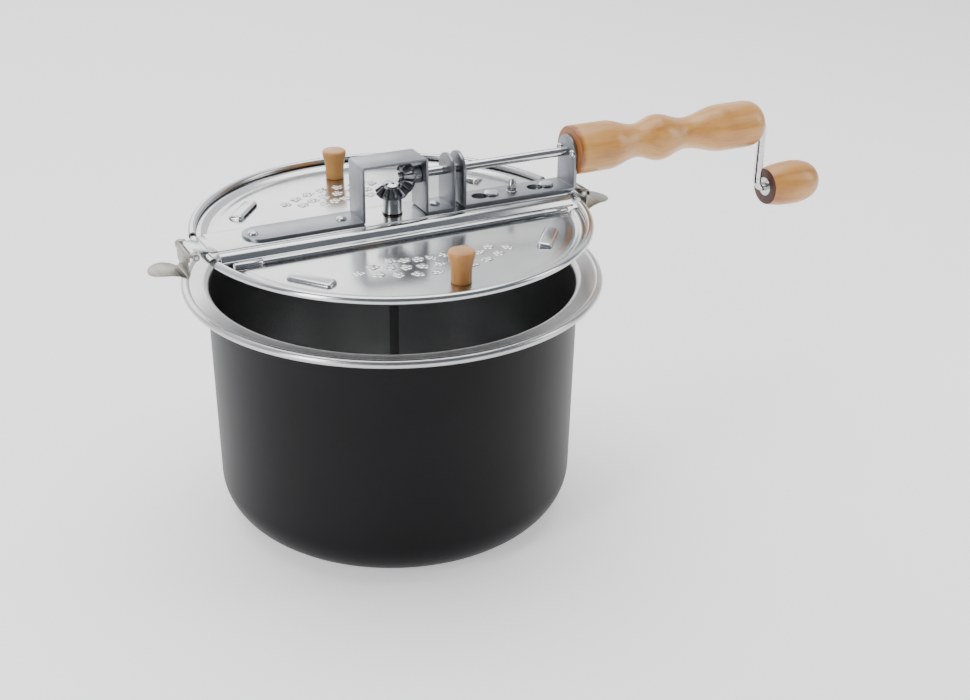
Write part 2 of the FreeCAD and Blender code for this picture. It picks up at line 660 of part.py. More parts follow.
def make_gear_bracket():
    """Bent steel strip riveted to the crossbar: it carries the crank in a leg and an ear."""
    bracket = new_body("gear_bracket", ("0", "0", "lid_z + bar_top_z"))
    top = "bracket_top_z - bar_top_z"
    strip = new_sketch(bracket, "XZ_Plane")
    draw_loop(strip, [
        ("bracket_tail_x", "0"),
        ("bracket_left_x + bracket_sheet", "0"),
        ("bracket_left_x + bracket_sheet", top + " - bracket_sheet"),
        ("bracket_right_x - bracket_sheet", top + " - bracket_sheet"),
        ("bracket_right_x - bracket_sheet", "0"),
        ("bracket_ear_x", "0"),
        ("bracket_ear_x", top + " - 2"),
        ("bracket_ear_x - bracket_sheet", top + " - 2"),
        ("bracket_ear_x - bracket_sheet", "bracket_sheet"),
        ("bracket_right_x", "bracket_sheet"),
        ("bracket_right_x", top),
        ("bracket_left_x", top),
        ("bracket_left_x", "bracket_sheet"),
        ("bracket_tail_x", "bracket_sheet"),
    ])
    pad(bracket, strip, "2 * bracket_y")
    rounded(bracket, "3", straight_at(x="bracket_right_x", z=top))
    rounded(bracket, "3", straight_at(x="bracket_left_x", z=top))
    bore = new_sketch(bracket, "YZ_Plane", "(bracket_right_x + bracket_ear_x) / 2")
    draw_circle(bore, "0", "axis_z - bar_top_z", "rod_r + run_gap")
    pocket(bracket, bore, "24")
    holes = new_sketch(bracket, "XY_Plane", "bracket_sheet")
    for x in RIVET_X:
        draw_circle(holes, x, "0", RIVET_R)
    pocket(bracket, holes, "3 * bracket_sheet")
    round_end(bracket, "bracket_tail_x + bracket_y", "-bracket_y", "bracket_y", "0", "4 * bracket_sheet")
    round_ear(bracket, "bracket_ear_x - bracket_sheet / 2", "bracket_y", top + " - 2")


def round_end(body, centre, reach, half, height, depth):
    """Trim the end of a flat strip to a half circle that starts at centre and reaches out from it."""
    trim = new_sketch(body, "XY_Plane", height)
    points = []
    steps = 12
    for step in range(steps + 1):
        angle = math.radians(180.0 * step / steps - 90)
        along = "%s + (%s) * %.6f" % (centre, reach, math.cos(angle))
        points.append((along, "(%s) * %.6f" % (half, math.sin(angle))))
    points[0] = (centre, "-(%s)" % half)
    points[-1] = (centre, half)
    points += [(centre, "%s + 1" % half), ("%s + (%s) * 1.1" % (centre, reach), "%s + 1" % half)]
    points += [("%s + (%s) * 1.1" % (centre, reach), "-(%s + 1)" % half), (centre, "-(%s + 1)" % half)]
    draw_loop(trim, points)
    pocket(body, trim, depth)


def round_ear(body, x, half, top):
    """Round the two top corners of an upright ear."""
    def wanted(edge):
        ends = [vertex.Point for vertex in edge.Vertexes]
        high = all(abs(point.z - size(top)) < 0.01 for point in ends)
        wide = all(abs(abs(point.y) - size(half)) < 0.01 for point in ends)
        near = all(abs(point.x - size(x)) < 1.5 for point in ends)
        same = ends and abs(ends[0].y - ends[-1].y) < 0.01
        return high and wide and near and same
    rounded(body, half + " - 1", wanted)


def make_rivets(name, places, base, head_z, head_r, shank_r):
    """Round-headed rivets, one solid each, in one node."""
    pieces = []
    for index, x in enumerate(places):
        shank = doc.addObject("Part::Cylinder", "%s_shank_%d" % (name, index))
        shank.setExpression("Radius", bound(shank_r))
        shank.setExpression("Height", bound("(%s) - (%s)" % (head_z, base)))
        shank.setExpression("Placement.Base.x", bound(x))
        shank.setExpression("Placement.Base.z", bound(base))
        head = doc.addObject("Part::Cone", "%s_head_%d" % (name, index))
        head.setExpression("Radius1", bound(head_r))
        head.setExpression("Radius2", bound("0.6 * (%s)" % head_r))
        head.setExpression("Height", bound("0.4 * (%s)" % head_r))
        head.setExpression("Placement.Base.x", bound(x))
        head.setExpression("Placement.Base.z", bound(head_z))
        whole = doc.addObject("Part::Fuse", "%s_one_%d" % (name, index))
        whole.Base = shank
        whole.Tool = head
        pieces.append(whole)
    group = doc.addObject("Part::Compound", name)
    group.Links = pieces
    group.Label = name
    PARTS.append(group)


def make_handle_bracket():
    """U-shaped steel bracket that hangs on two shoulder rivets and holds the wooden handle."""
    holder = new_body("handle_bracket", ("0", "0", "lid_z + bar_top_z"))
    top = "axis_z - bar_top_z + holder_y"
    strip = new_sketch(holder, "XZ_Plane")
    draw_loop(strip, [
        ("holder_start_x", "0"),
        ("holder_end_x", "0"),
        ("holder_end_x", top),
        ("holder_end_x - holder_sheet", top),
        ("holder_end_x - holder_sheet", "holder_sheet"),
        ("holder_start_x + holder_sheet", "holder_sheet"),
        ("holder_start_x + holder_sheet", top),
        ("holder_start_x", top),
    ])
    pad(holder, strip, "2 * holder_y")
    round_ear(holder, "holder_start_x + holder_sheet / 2", "holder_y", top)
    round_ear(holder, "holder_end_x - holder_sheet / 2", "holder_y", top)
    bores = new_sketch(holder, "YZ_Plane", "(holder_start_x + holder_end_x) / 2")
    draw_circle(bores, "0", "axis_z - bar_top_z", "rod_r + run_gap")
    pocket(holder, bores, "90")
    screws = new_sketch(holder, "YZ_Plane", "holder_end_x")
    for side in ("-", ""):
        draw_circle(screws, side + "grip_screw_y", "axis_z - bar_top_z", "grip_screw_r")
    pocket(holder, screws, "3 * holder_sheet")
    stud = new_sketch(holder, "XY_Plane")
    draw_circle(stud, STUD_X, "0", STUD_R)
    pocket(holder, stud, "3 * holder_sheet")
    for x in SHOULDER_X:
        wide = new_sketch(holder, "XY_Plane")
        draw_circle(wide, x + " - keyhole_step", "0", "keyhole_r")
        pocket(holder, wide, "3 * holder_sheet")
        slot = new_sketch(holder, "XY_Plane")
        draw_loop(slot, [
            (x + " - keyhole_step", "-keyslot_r"),
            (x, "-keyslot_r"),
            (x, "keyslot_r"),
            (x + " - keyhole_step", "keyslot_r"),
        ])
        pocket(holder, slot, "3 * holder_sheet")
        end = new_sketch(holder, "XY_Plane")
        draw_circle(end, x, "0", "keyslot_r")
        pocket(holder, end, "3 * holder_sheet")


def make_shoulder_rivets():
    """Two shoulder rivets in the crossbar that the keyholes hook on to."""
    place = ("0", "0", "lid_z + bar_top_z")
    pieces = []
    for index, x in enumerate(SHOULDER_X):
        levels = ((RIVET_R, "-bar_sheet", "0"), ("keyslot_r - 0.1", "0", "holder_sheet + 0.1"),
                  ("4.5", "holder_sheet + 0.1", "holder_sheet + 1.9"))
        drums = []
        for level, (radius, low, high) in enumerate(levels):
            drum = doc.addObject("Part::Cylinder", "keyhole_drum_%d_%d" % (index, level))
            drum.setExpression("Radius", bound(radius))
            drum.setExpression("Height", bound("(%s) - (%s)" % (high, low)))
            drum.setExpression("Placement.Base.x", bound(x))
            drum.setExpression("Placement.Base.z", bound("(%s) + (%s)" % (place[2], low)))
            drums.append(drum)
        whole = doc.addObject("Part::MultiFuse", "keyhole_rivet_%d" % index)
        whole.Shapes = drums
        pieces.append(whole)
    group = doc.addObject("Part::Compound", "keyhole_rivets")
    group.Links = pieces
    group.Label = "keyhole_rivets"
    PARTS.append(group)


def make_stud_and_nut():
    """Threaded stud on the crossbar with a washer and an acorn nut that lock the handle bracket."""
    place = (STUD_X, "0", "lid_z + bar_top_z")
    make_rod_straight("bracket_stud", place, "z", "-bar_sheet", "holder_sheet + 6.4", STUD_R)
    washer = new_body("bracket_washer", (STUD_X, "0", "lid_z + bar_top_z + holder_sheet"))
    ring = new_sketch(washer, "XY_Plane")
    draw_circle(ring, "0", "0", "3.5")
    draw_circle(ring, "0", "0", STUD_R)
    pad(washer, ring, "0.6", both=False)
    nut = new_body("acorn_nut", (STUD_X, "0", "lid_z + bar_top_z + holder_sheet + 0.6"))
    hexagon = new_sketch(nut, "XY_Plane")
    corner = 5.5 / math.sqrt(3)
    draw_loop(hexagon, [
        ("%.5f" % (corner * math.cos(math.radians(60 * k))), "%.5f" % (corner * math.sin(math.radians(60 * k))))
        for k in range(6)
    ])
    pad(nut, hexagon, "3", both=False)
    dome = new_sketch(nut, "XZ_Plane")
    draw_loop(dome, [("0", "2.8"), ("2.7", "2.8"), ("2.7", "4.6"), ("2.2", "6.2"), ("1.2", "7.2"), ("0", "7.5")])
    turned(nut, dome)
    bore = new_sketch(nut, "XY_Plane")
    draw_circle(bore, "0", "0", STUD_R)
    pocket(nut, bore, "2 * 5.9")


# ---------------------------------------------------------------- handle

def swell(start_x, start_r, stop_x, stop_r, steps=5):
    """Points of a smooth change from one radius to another, without the last."""
    points = []
    for step in range(steps):
        share = (1 - math.cos(math.pi * step / steps)) / 2
        along = "%s + (%s - (%s)) * %.5f" % (start_x, stop_x, start_x, step / steps)
        out = "%s + (%s - (%s)) * %.5f" % (start_r, stop_r, start_r, share)
        points.append((along, out))
    return points


def make_handle():
    """Turned wooden handle with two necks, drilled through for the crank rod."""
    grip = new_body("handle", ("0", "0", "lid_z + axis_z"))
    outline = new_sketch(grip, "XZ_Plane")
    points = [("holder_end_x", "grip_bore_r"), ("holder_end_x", "grip_end_r - 1")]
    points += [("holder_end_x + 1", "grip_end_r"), ("holder_end_x + 6", "grip_end_r")]
    points += swell("grip_straight_x", "grip_end_r - 0.05", "grip_first_neck_x", "grip_neck_r")
    points += swell("grip_first_neck_x", "grip_neck_r", "grip_bulge_x", "grip_bulge_r")
    points += swell("grip_bulge_x", "grip_bulge_r", "grip_second_neck_x", "grip_thin_r")
    points += swell("grip_second_neck_x", "grip_thin_r", "grip_tail_x", "grip_tail_r")
    points += [("grip_tail_x", "grip_tail_r"), ("grip_round_x", "grip_tail_r")]
    points += [("grip_end_x - 6", "grip_tail_r - 1.4"), ("grip_end_x - 2.5", "grip_tail_r - 3.8")]
    points += [("grip_end_x", "grip_tail_r - 7.5"), ("grip_end_x", "grip_bore_r")]
    draw_loop(outline, points)
    turned(grip, outline, "H_Axis")
    holes = new_sketch(grip, "YZ_Plane", "holder_end_x")
    for side in ("-", ""):
        draw_circle(holes, side + "grip_screw_y", "0", "grip_screw_r")
    pocket(grip, holes, "2 * (grip_screw_length + 0.5)")


def make_handle_screws():
    """Two screws through the outer ear into the handle's end."""
    pieces = []
    for index, side in enumerate(("-", "")):
        parts = []
        head = ("head", "grip_screw_head_r", "-holder_sheet - 2", "-holder_sheet")
        shank = ("shank", "grip_screw_r", "-holder_sheet", "grip_screw_length")
        for label, radius, start, stop in (head, shank):
            drum = doc.addObject("Part::Cylinder", "handle_screw_%s_%d" % (label, index))
            drum.Placement.Rotation = FreeCAD.Rotation(FreeCAD.Vector(0, 1, 0), 90)
            drum.setExpression("Radius", bound(radius))
            drum.setExpression("Height", bound("%s - (%s)" % (stop, start)))
            drum.setExpression("Placement.Base.x", bound("holder_end_x + (%s)" % start))
            drum.setExpression("Placement.Base.y", bound(side + "grip_screw_y"))
            drum.setExpression("Placement.Base.z", bound("lid_z + axis_z"))
            parts.append(drum)
        whole = doc.addObject("Part::Fuse", "handle_screw_%d" % index)
        whole.Base = parts[0]
        whole.Tool = parts[1]
        pieces.append(whole)
    group = doc.addObject("Part::Compound", "handle_screws")
    group.Links = pieces
    group.Label = "handle_screws"
    PARTS.append(group)


# ---------------------------------------------------------------- crank

def make_crank():
    """One bent rod: along the handle, down the crank arm and out through the knob."""
    rod = new_body("crank_rod", ("0", "0", "lid_z + axis_z"))
    rod_pipe(rod, [
        ("rod_start_x", "0"),
        ("crank_x", "0"),
        ("crank_x", "-crank_throw"),
        ("crank_end_x", "-crank_throw"),
    ], "crank_bend", "rod_r")
    hole = new_sketch(rod, "XZ_Plane")
    draw_circle(hole, GEAR_PIN_X, "0", "wire_r")
    pocket(rod, hole, "8")
    retainer = new_body("knob_retainer", ("knob_start_x + 7", "0", "lid_z + axis_z - crank_throw"))
    ring = new_sketch(retainer, "YZ_Plane")
    draw_circle(ring, "0", "0", "4")
    draw_circle(ring, "0", "0", "rod_r")
    pad(retainer, ring, "1.5", both=False)


def make_crank_knob():
    """Turned wooden knob that spins on the crank rod, closed by a ferrule."""
    knob = new_body("crank_knob", ("knob_start_x", "0", "lid_z + axis_z - crank_throw"))
    outline = new_sketch(knob, "XZ_Plane")
    length = "(knob_end_x - knob_start_x)"
    rod_end = "crank_end_x - knob_start_x"
    draw_loop(outline, [
        ("0", "ferrule_r"),
        ("0", "knob_face_r"),
        ("0.08 * " + length, "knob_face_r + 1.2"),
        ("0.25 * " + length, "knob_max_r - 0.7"),
        ("0.45 * " + length, "knob_max_r"),
        ("0.62 * " + length, "knob_max_r - 0.8"),
        ("0.78 * " + length, "knob_max_r - 2.9"),
        ("0.9 * " + length, "knob_max_r - 6.2"),
        ("0.97 * " + length, "knob_max_r - 9.8"),
        (length, "knob_max_r - 12.5"),
        (length, "0"),
        (rod_end + " + 1", "0"),
        (rod_end + " + 1", "rod_r + run_gap"),
        ("11", "rod_r + run_gap"),
        ("11", "4.4"),
        ("5", "4.4"),
        ("5", "ferrule_r"),
    ])
    turned(knob, outline, "H_Axis")
    ferrule = new_body("knob_ferrule", ("knob_start_x", "0", "lid_z + axis_z - crank_throw"))
    ring = new_sketch(ferrule, "YZ_Plane")
    draw_circle(ring, "0", "0", "ferrule_r")
    draw_circle(ring, "0", "0", "rod_r + run_gap")
    pad(ferrule, ring, "5", both=False)


# ---------------------------------------------------------------- gears

def bevel_gear(name, hub_length, pin_at, place):
    """A 45 degree bevel gear with its apex at the origin and its axis along +Z, then put in place."""
    pitch = size("gear_pitch_r")
    inner = (pitch - size("gear_face") / math.sqrt(2)) / pitch
    above = size("tooth_above") / math.sqrt(2)
    below = size("tooth_below") / math.sqrt(2)
    root = FreeCAD.Vector(pitch - below, 0, pitch + below)
    tip = FreeCAD.Vector(pitch + above, 0, pitch - above)
    hub = size("hub_r")
    bore = size("rod_r")
    blank = Part.Face(Part.makePolygon([
        FreeCAD.Vector(bore, 0, root.z * inner),
        root * inner,
        root,
        FreeCAD.Vector(hub, 0, root.z + 1),
        FreeCAD.Vector(hub, 0, hub_length),
        FreeCAD.Vector(bore, 0, hub_length),
        FreeCAD.Vector(bore, 0, root.z * inner),
    ])).revolve(FreeCAD.Vector(0, 0, 0), FreeCAD.Vector(0, 0, 1), 360)
    half = size("tooth_half")
    sunk = root + (root - tip) * 0.2

    def section(scale):
        corners = [(sunk, half * 1.5), (sunk, -half * 1.5), (tip, -half * 0.55), (tip, half * 0.55)]
        points = [(base + FreeCAD.Vector(0, out, 0)) * scale for base, out in corners]
        return Part.makePolygon(points + points[:1])

    tooth = Part.makeLoft([section(inner * 1.02), section(1.0)], True, True)
    teeth = []
    count = int(size("gear_teeth"))
    for index in range(count):
        one = tooth.copy()
        one.rotate(FreeCAD.Vector(0, 0, 0), FreeCAD.Vector(0, 0, 1), index * 360.0 / count)
        teeth.append(one)
    gear = blank.fuse(teeth)
    hole = Part.makeCylinder(bore, 40, FreeCAD.Vector(0, 0, 0), FreeCAD.Vector(0, 0, 1))
    pin = Part.makeCylinder(size("wire_r"), 40, FreeCAD.Vector(0, -20, pin_at), FreeCAD.Vector(0, 1, 0))
    piece = doc.addObject("Part::Feature", name)
    piece.Label = name
    piece.Shape = gear.cut(hole).cut(pin).removeSplitter()
    piece.Placement = place
    PARTS.append(piece)


def make_gears():
    """Two equal bevel gears, each pinned through its hub. With an odd number of teeth a tooth of the one
    on the crank rod faces a gap of the one on the stirrer shaft."""
    apex = FreeCAD.Vector(0, 0, size("lid_z + axis_z"))
    hub_end = size("bracket_right_x - bracket_sheet") - 0.3
    across = FreeCAD.Placement(apex, FreeCAD.Rotation(FreeCAD.Vector(0, 1, 0), 90))
    bevel_gear("drive_gear", hub_end, size(GEAR_PIN_X), across)
    down = FreeCAD.Placement(apex, FreeCAD.Rotation(FreeCAD.Vector(0, 1, 0), 180))
    bevel_gear("driven_gear", size("axis_z - " + HUB_FOOT), size(GEAR_PIN_X), down)
    length = "hub_r"
    make_rod_straight("drive_gear_pin", (GEAR_PIN_X, "0", "lid_z + axis_z"), "y", "-" + length, length, "wire_r")
    place = ("0", "0", "lid_z + axis_z - " + GEAR_PIN_X)
    make_rod_straight("driven_gear_pin", place, "y", "-" + length, length, "wire_r")


# ---------------------------------------------------------------- stirrer

def make_stirrer():
    """Stirrer shaft through a flanged bush, held by a clip, with a wire arm at its foot."""
    shaft = make_rod_straight("stirrer_shaft", ("0", "0", "lid_z"), "z", "wire_z - shaft_foot", "21", "rod_r")
    gear_pin = new_sketch(shaft, "XZ_Plane")
    draw_circle(gear_pin, "0", "axis_z - " + GEAR_PIN_X, "wire_r")
    pocket(shaft, gear_pin, "8")
    wire_hole = new_sketch(shaft, "YZ_Plane")
    draw_circle(wire_hole, "0", "wire_z", "stir_wire_r")
    pocket(shaft, wire_hole, "8")
    wire = new_body("stirrer_wire", ("0", "0", "lid_z + wire_z"))
    rod_pipe(wire, [
        ("-stir_reach", "stir_rise"),
        ("-stir_knee", "0"),
        ("stir_knee", "0"),
        ("stir_reach", "stir_rise"),
    ], "8", "stir_wire_r")
    bush = new_body("stirrer_bush", ("0", "0", "lid_z + bar_top_z"))
    outline = new_sketch(bush, "XZ_Plane")
    draw_loop(outline, [
        ("rod_r + run_gap", "-4"),
        ("bush_r", "-4"),
        ("bush_r", "0"),
        ("bush_r + 2", "0"),
        ("bush_r + 2", "0.6"),
        ("rod_r + run_gap", "0.6"),
    ])
    turned(bush, outline)
    keeper = new_body("stirrer_clip", ("0", "0", "lid_z + bar_top_z - 5.1"))
    ring = new_sketch(keeper, "XY_Plane")
    draw_circle(ring, "0", "0", "bush_r + 1")
    draw_circle(ring, "0", "0", "rod_r")
    pad(keeper, ring, "0.8", both=False)


# ---------------------------------------------------------------- build and write

make_pot()
make_crossbar()
make_hinge_wires()
make_clip_pins()
make_half_lid("front_half_lid", "-")
make_half_lid("rear_half_lid", "")
make_lid_knob("front", "-")
make_lid_knob("rear", "")
make_clip("left_clip", "-")
make_clip("right_clip", "")
make_gear_bracket()
make_rivets("bracket_rivets", RIVET_X, "lid_z + bar_top_z - bar_sheet",
            "lid_z + bar_top_z + bracket_sheet", "3.2", RIVET_R)
make_handle_bracket()
make_shoulder_rivets()
make_stud_and_nut()
make_handle()
make_handle_screws()
make_crank()
make_crank_knob()
make_gears()
make_stirrer()
doc.recompute()

for item in doc.Objects:
    if "Invalid" in item.State or "Error" in item.State:
        raise RuntimeError("%s failed: %s" % (item.Label, item.State))
for part in PARTS:
    if part.Shape.isNull() or not part.Shape.isValid():
        raise RuntimeError(part.Label + " has no valid shape")

os.makedirs("parts", exist_ok=True)
for part in PARTS:
    part.Shape.exportStep(os.path.join("parts", part.Label + ".step"))
    print(part.Label, len(part.Shape.Solids), round(part.Shape.Volume, 1))
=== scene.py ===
import math

import bpy
from mathutils import Euler, Matrix, Vector


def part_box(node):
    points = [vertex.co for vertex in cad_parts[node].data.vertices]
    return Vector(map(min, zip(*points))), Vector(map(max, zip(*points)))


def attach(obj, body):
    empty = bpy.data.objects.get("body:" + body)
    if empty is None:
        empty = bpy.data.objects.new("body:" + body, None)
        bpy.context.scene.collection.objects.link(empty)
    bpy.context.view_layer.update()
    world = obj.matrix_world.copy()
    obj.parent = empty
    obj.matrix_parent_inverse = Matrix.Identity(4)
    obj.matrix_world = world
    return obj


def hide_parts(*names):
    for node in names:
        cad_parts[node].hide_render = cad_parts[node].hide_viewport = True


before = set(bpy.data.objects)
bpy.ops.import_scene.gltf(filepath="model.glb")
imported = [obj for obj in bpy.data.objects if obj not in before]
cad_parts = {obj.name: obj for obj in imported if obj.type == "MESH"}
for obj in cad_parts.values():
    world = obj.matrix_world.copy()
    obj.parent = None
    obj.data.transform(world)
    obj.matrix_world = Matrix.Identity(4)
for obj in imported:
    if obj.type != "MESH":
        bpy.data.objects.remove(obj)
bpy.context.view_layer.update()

MM = 0.001

# ------------------------------------------------------------------ camera
# The camera stands a little above the lid, left of the front, and looks down at the whole popper.
# Its place is set from the middle of the pot's rim.

rim_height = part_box("pot")[1].z - 2.5 * MM
AZIMUTH = math.radians(-23.28)
ELEVATION = math.radians(23.17)
DISTANCE = 872.5 * MM
TURN_RIGHT = math.radians(27.217)
LOOK_DOWN = math.radians(26.204)
ROLL = math.radians(0.863)

bpy.ops.object.camera_add()
camera = bpy.context.object
camera.location = (
    DISTANCE * math.cos(ELEVATION) * math.sin(AZIMUTH),
    -DISTANCE * math.cos(ELEVATION) * math.cos(AZIMUTH),
    rim_height + DISTANCE * math.sin(ELEVATION),
)
aim = Euler((math.pi / 2 - LOOK_DOWN, 0, -TURN_RIGHT), "XYZ").to_matrix() @ Matrix.Rotation(ROLL, 3, "Z")
camera.rotation_euler = aim.to_euler()
camera.data.lens = 54.35
camera.data.sensor_width = 36
bpy.context.scene.camera = camera

# ------------------------------------------------------------------ studio
# A plain pale floor under soft light: a broad panel above, a tall one on the left that draws the upright
# streak on the pot, a weaker one on the right and one behind. The air is darker at the front, which gives
# bright metal something dark to mirror.


def linear(code):
    """A hex colour as the linear values that shaders take."""
    values = [int(code[start:start + 2], 16) / 255 for start in (1, 3, 5)]
    return [v / 12.92 if v <= 0.04045 else ((v + 0.055) / 1.055) ** 2.4 for v in values] + [1.0]


def add_node(tree, kind, settings=(), **inputs):
    """Adds one shader node, sets it up and links or fills its inputs. Two settings are special: "stops"
    are a ramp's places and hex colours, and "to" says where outputs are linked."""
    node = tree.nodes.new("ShaderNode" + kind)
    for name, value in dict(settings).items():
        if name == "stops":
            while len(node.color_ramp.elements) < len(value):
                node.color_ramp.elements.new(0.5)
            for element, (place, code) in zip(node.color_ramp.elements, value):
                element.position = place
                element.color = linear(code)
        elif name == "to":
            for output, socket in value.items():
                tree.links.new(node.outputs[output], socket)
        else:
            setattr(node, name, value)
    for name, value in inputs.items():
        socket = node.inputs[name.replace("_", " ")]
        if isinstance(value, bpy.types.NodeSocket):
            tree.links.new(value, socket)
        else:
            socket.default_value = value
    return node


def new_finish(name, **inputs):
    """A material with its main shader set; returns the material, its tree and the shader."""
    material = bpy.data.materials.new(name)
    material.use_nodes = True
    tree = material.node_tree
    shader = tree.nodes["Principled BSDF"]
    for key, value in inputs.items():
        shader.inputs[key.replace("_", " ")].default_value = value
    return material, tree, shader


# Matt white paint that also glows a little, so that the floor stays pale in every direction.
floor_paint, tree, shader = new_finish("matt_white_studio_floor", Roughness=0.9, Emission_Strength=0.5)
shader.inputs["Base Color"].default_value = linear("#ffffff")
shader.inputs["Emission Color"].default_value = linear("#ffffff")
bpy.ops.object.select_all(action="DESELECT")
bpy.ops.mesh.primitive_plane_add(size=14, location=(0, 0, -0.2 * MM))
floor = bpy.context.object
floor.name = "studio_floor"
floor.data.materials.append(floor_paint)

world = bpy.data.worlds.new("studio_air")
bpy.context.scene.world = world
world.use_nodes = True
sky = world.node_tree.nodes["Background"]
sky.inputs["Strength"].default_value = 1.45
look = add_node(world.node_tree, "TexCoord").outputs["Generated"]
toward_back = add_node(world.node_tree, "SeparateXYZ", Vector=look).outputs["Y"]
add_node(world.node_tree, "ValToRGB", {"stops": [(0.0, "#6b6f75"), (0.35, "#eceef1"), (0.8, "#ffffff")],
                                       "to": {"Color": sky.inputs["Color"]}}, Fac=toward_back)

PANELS = [
    ("panel_above", (0.1, 0.2, 1.5), (0.05, 0.0, 0.1), 1.5, 1.1, 18),
    ("panel_left", (-1.25, -0.55, 0.5), (0.0, 0.0, 0.1), 0.32, 1.2, 13),
    ("panel_right", (1.4, -0.6, 0.7), (0.1, 0.0, 0.1), 0.5, 1.0, 6),
    ("panel_behind", (-0.2, 1.7, 0.9), (0.0, 0.0, 0.2), 2.0, 0.8, 10),
]
for name, place, target, width, height, power in PANELS:
    light = bpy.data.lights.new(name, "AREA")
    light.shape = "RECTANGLE"
    light.size = width
    light.size_y = height
    light.energy = power
    panel = bpy.data.objects.new(name, light)
    panel.location = place
    panel.rotation_euler = (Vector(target) - Vector(place)).to_track_quat("-Z", "Y").to_euler()
    bpy.context.scene.collection.objects.link(panel)

# ------------------------------------------------------------------ pot
# Drawn aluminium pot with a flat base, a flange and a rolled rim. Outside it is coated satin black;
# the rim and the inside are bare spun aluminium with fine turning lines.


def arc(x, z, radius, start, stop, steps=8):
    """Points of an arc round (x, z), from one angle to another in degrees."""
    angles = [math.radians(start + (stop - start) * step / steps) for step in range(steps + 1)]
    return [(x + radius * math.cos(a), z + radius * math.sin(a)) for a in angles]


def select_only(piece):
    """Makes one object the only selected and active one."""
    bpy.ops.object.select_all(action="DESELECT")
    piece.select_set(True)
    bpy.context.view_layer.objects.active = piece


def smooth(piece, angle=35):
    """Smooth shading, with edges kept where the surface turns by more than the angle."""
    select_only(piece)
    bpy.ops.object.shade_smooth_by_angle(angle=math.radians(angle))


def turned(name, stations, segments=64):
    """A turned piece on the Z axis: a ring is extruded, moved and scaled from station to station.
    Stations are (radius, height) in millimetres, listed anticlockwise; a radius of 0 closes a pole."""
    bpy.ops.object.select_all(action="DESELECT")
    least = 0.001
    rings = [(max(radius, least), height) for radius, height in stations]
    start_radius, start_height = rings[0]
    bpy.ops.mesh.primitive_circle_add(vertices=segments, radius=start_radius * MM,
                                      location=(0, 0, start_height * MM))
    piece = bpy.context.object
    piece.name = name
    bpy.ops.object.transform_apply(location=True, rotation=True, scale=True)
    bpy.ops.object.mode_set(mode="EDIT")
    bpy.ops.mesh.select_all(action="SELECT")
    for (radius, height), (next_radius, next_height) in zip(rings, rings[1:]):
        rise = (next_height - height) * MM
        grow = next_radius / radius
        bpy.ops.mesh.extrude_region_move(TRANSFORM_OT_translate={"value": (0, 0, rise)})
        bpy.ops.transform.resize(value=(grow, grow, 1), center_override=(0, 0, next_height * MM))
    bpy.ops.mesh.select_all(action="SELECT")
    bpy.ops.mesh.remove_doubles(threshold=0.004 * MM)
    bpy.ops.mesh.normals_make_consistent(inside=False)
    bpy.ops.object.mode_set(mode="OBJECT")
    return piece


def copied(piece, location=(0, 0, 0), turn=(0, 0, 0)):
    """A copy of a piece with its own mesh, turned and moved into place."""
    twin = piece.copy()
    twin.data = piece.data.copy()
    bpy.context.scene.collection.objects.link(twin)
    return place_piece(twin, location, turn)


def place_piece(piece, location=(0, 0, 0), turn=(0, 0, 0)):
    """Turns and moves a piece, then puts that into its mesh. Millimetres and degrees."""
    select_only(piece)
    piece.rotation_euler = [math.radians(angle) for angle in turn]
    piece.location = Vector(location) * MM
    bpy.ops.object.transform_apply(location=True, rotation=True, scale=True)
    return piece


pot_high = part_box("pot")[1]
rim_r = pot_high.x / MM - 2.5
rim_z = pot_high.z / MM - 2.5
flange = rim_z + 0.4
pot_outline = [(0, 0)]
pot_outline += arc(82.1, 26, 26, -90, 0, 12)
pot_outline += arc(111.8, flange - 4, 2.2, 180, 90, 5)
pot_outline += arc(rim_r, rim_z, 2.5, 215, 520, 22)
pot_outline += arc(111.8, flange - 4, 4, 90, 180, 6)
pot_outline += arc(82.1, 26, 24.2, 0, -90, 12)
pot_outline += [(0, 1.8)]
pot_shell = turned("pot_shell", pot_outline, 160)
smooth(pot_shell, 50)

# Satin black heat-proof coating, sprayed and baked: a soft sheen with a very fine orange peel.
coating, tree, shader = new_finish("satin_black_baked_coating", Roughness=0.4, Specular_IOR_Level=0.14)
coords = add_node(tree, "TexCoord").outputs["Object"]
cloud = add_node(tree, "TexNoise", Vector=coords, Scale=18.0, Detail=3.0).outputs["Fac"]
add_node(tree, "ValToRGB", {"stops": [(0.3, "#08080a"), (0.7, "#0d0d0f")],
                            "to": {"Color": shader.inputs["Base Color"]}}, Fac=cloud)
peel = add_node(tree, "TexNoise", Vector=coords, Scale=1100.0, Detail=2.0).outputs["Fac"]
add_node(tree, "Bump", {"to": {"Normal": shader.inputs["Normal"]}}, Height=peel, Distance=0.03 * MM)

# Spun aluminium: bright, with fine rings left by the turning tool. They are drawn about 1.4 mm apart, so
# that they show.
spun_aluminium, tree, shader = new_finish("spun_aluminium", Metallic=1.0, Roughness=0.27)
coords = add_node(tree, "TexCoord").outputs["Object"]
patches = add_node(tree, "TexNoise", Vector=coords, Scale=25.0, Detail=4.0).outputs["Fac"]
add_node(tree, "ValToRGB", {"stops": [(0.3, "#b3b4b5"), (0.7, "#c4c4c3")],
                            "to": {"Color": shader.inputs["Base Color"]}}, Fac=patches)
rings = add_node(tree, "TexWave", {"wave_type": "RINGS", "rings_direction": "Z"}, Vector=coords, Scale=230.0,
                 Distortion=0.6, Detail=2.0, Detail_Scale=1.0).outputs["Fac"]
add_node(tree, "Bump", {"to": {"Normal": shader.inputs["Normal"]}}, Height=rings, Distance=0.008 * MM)

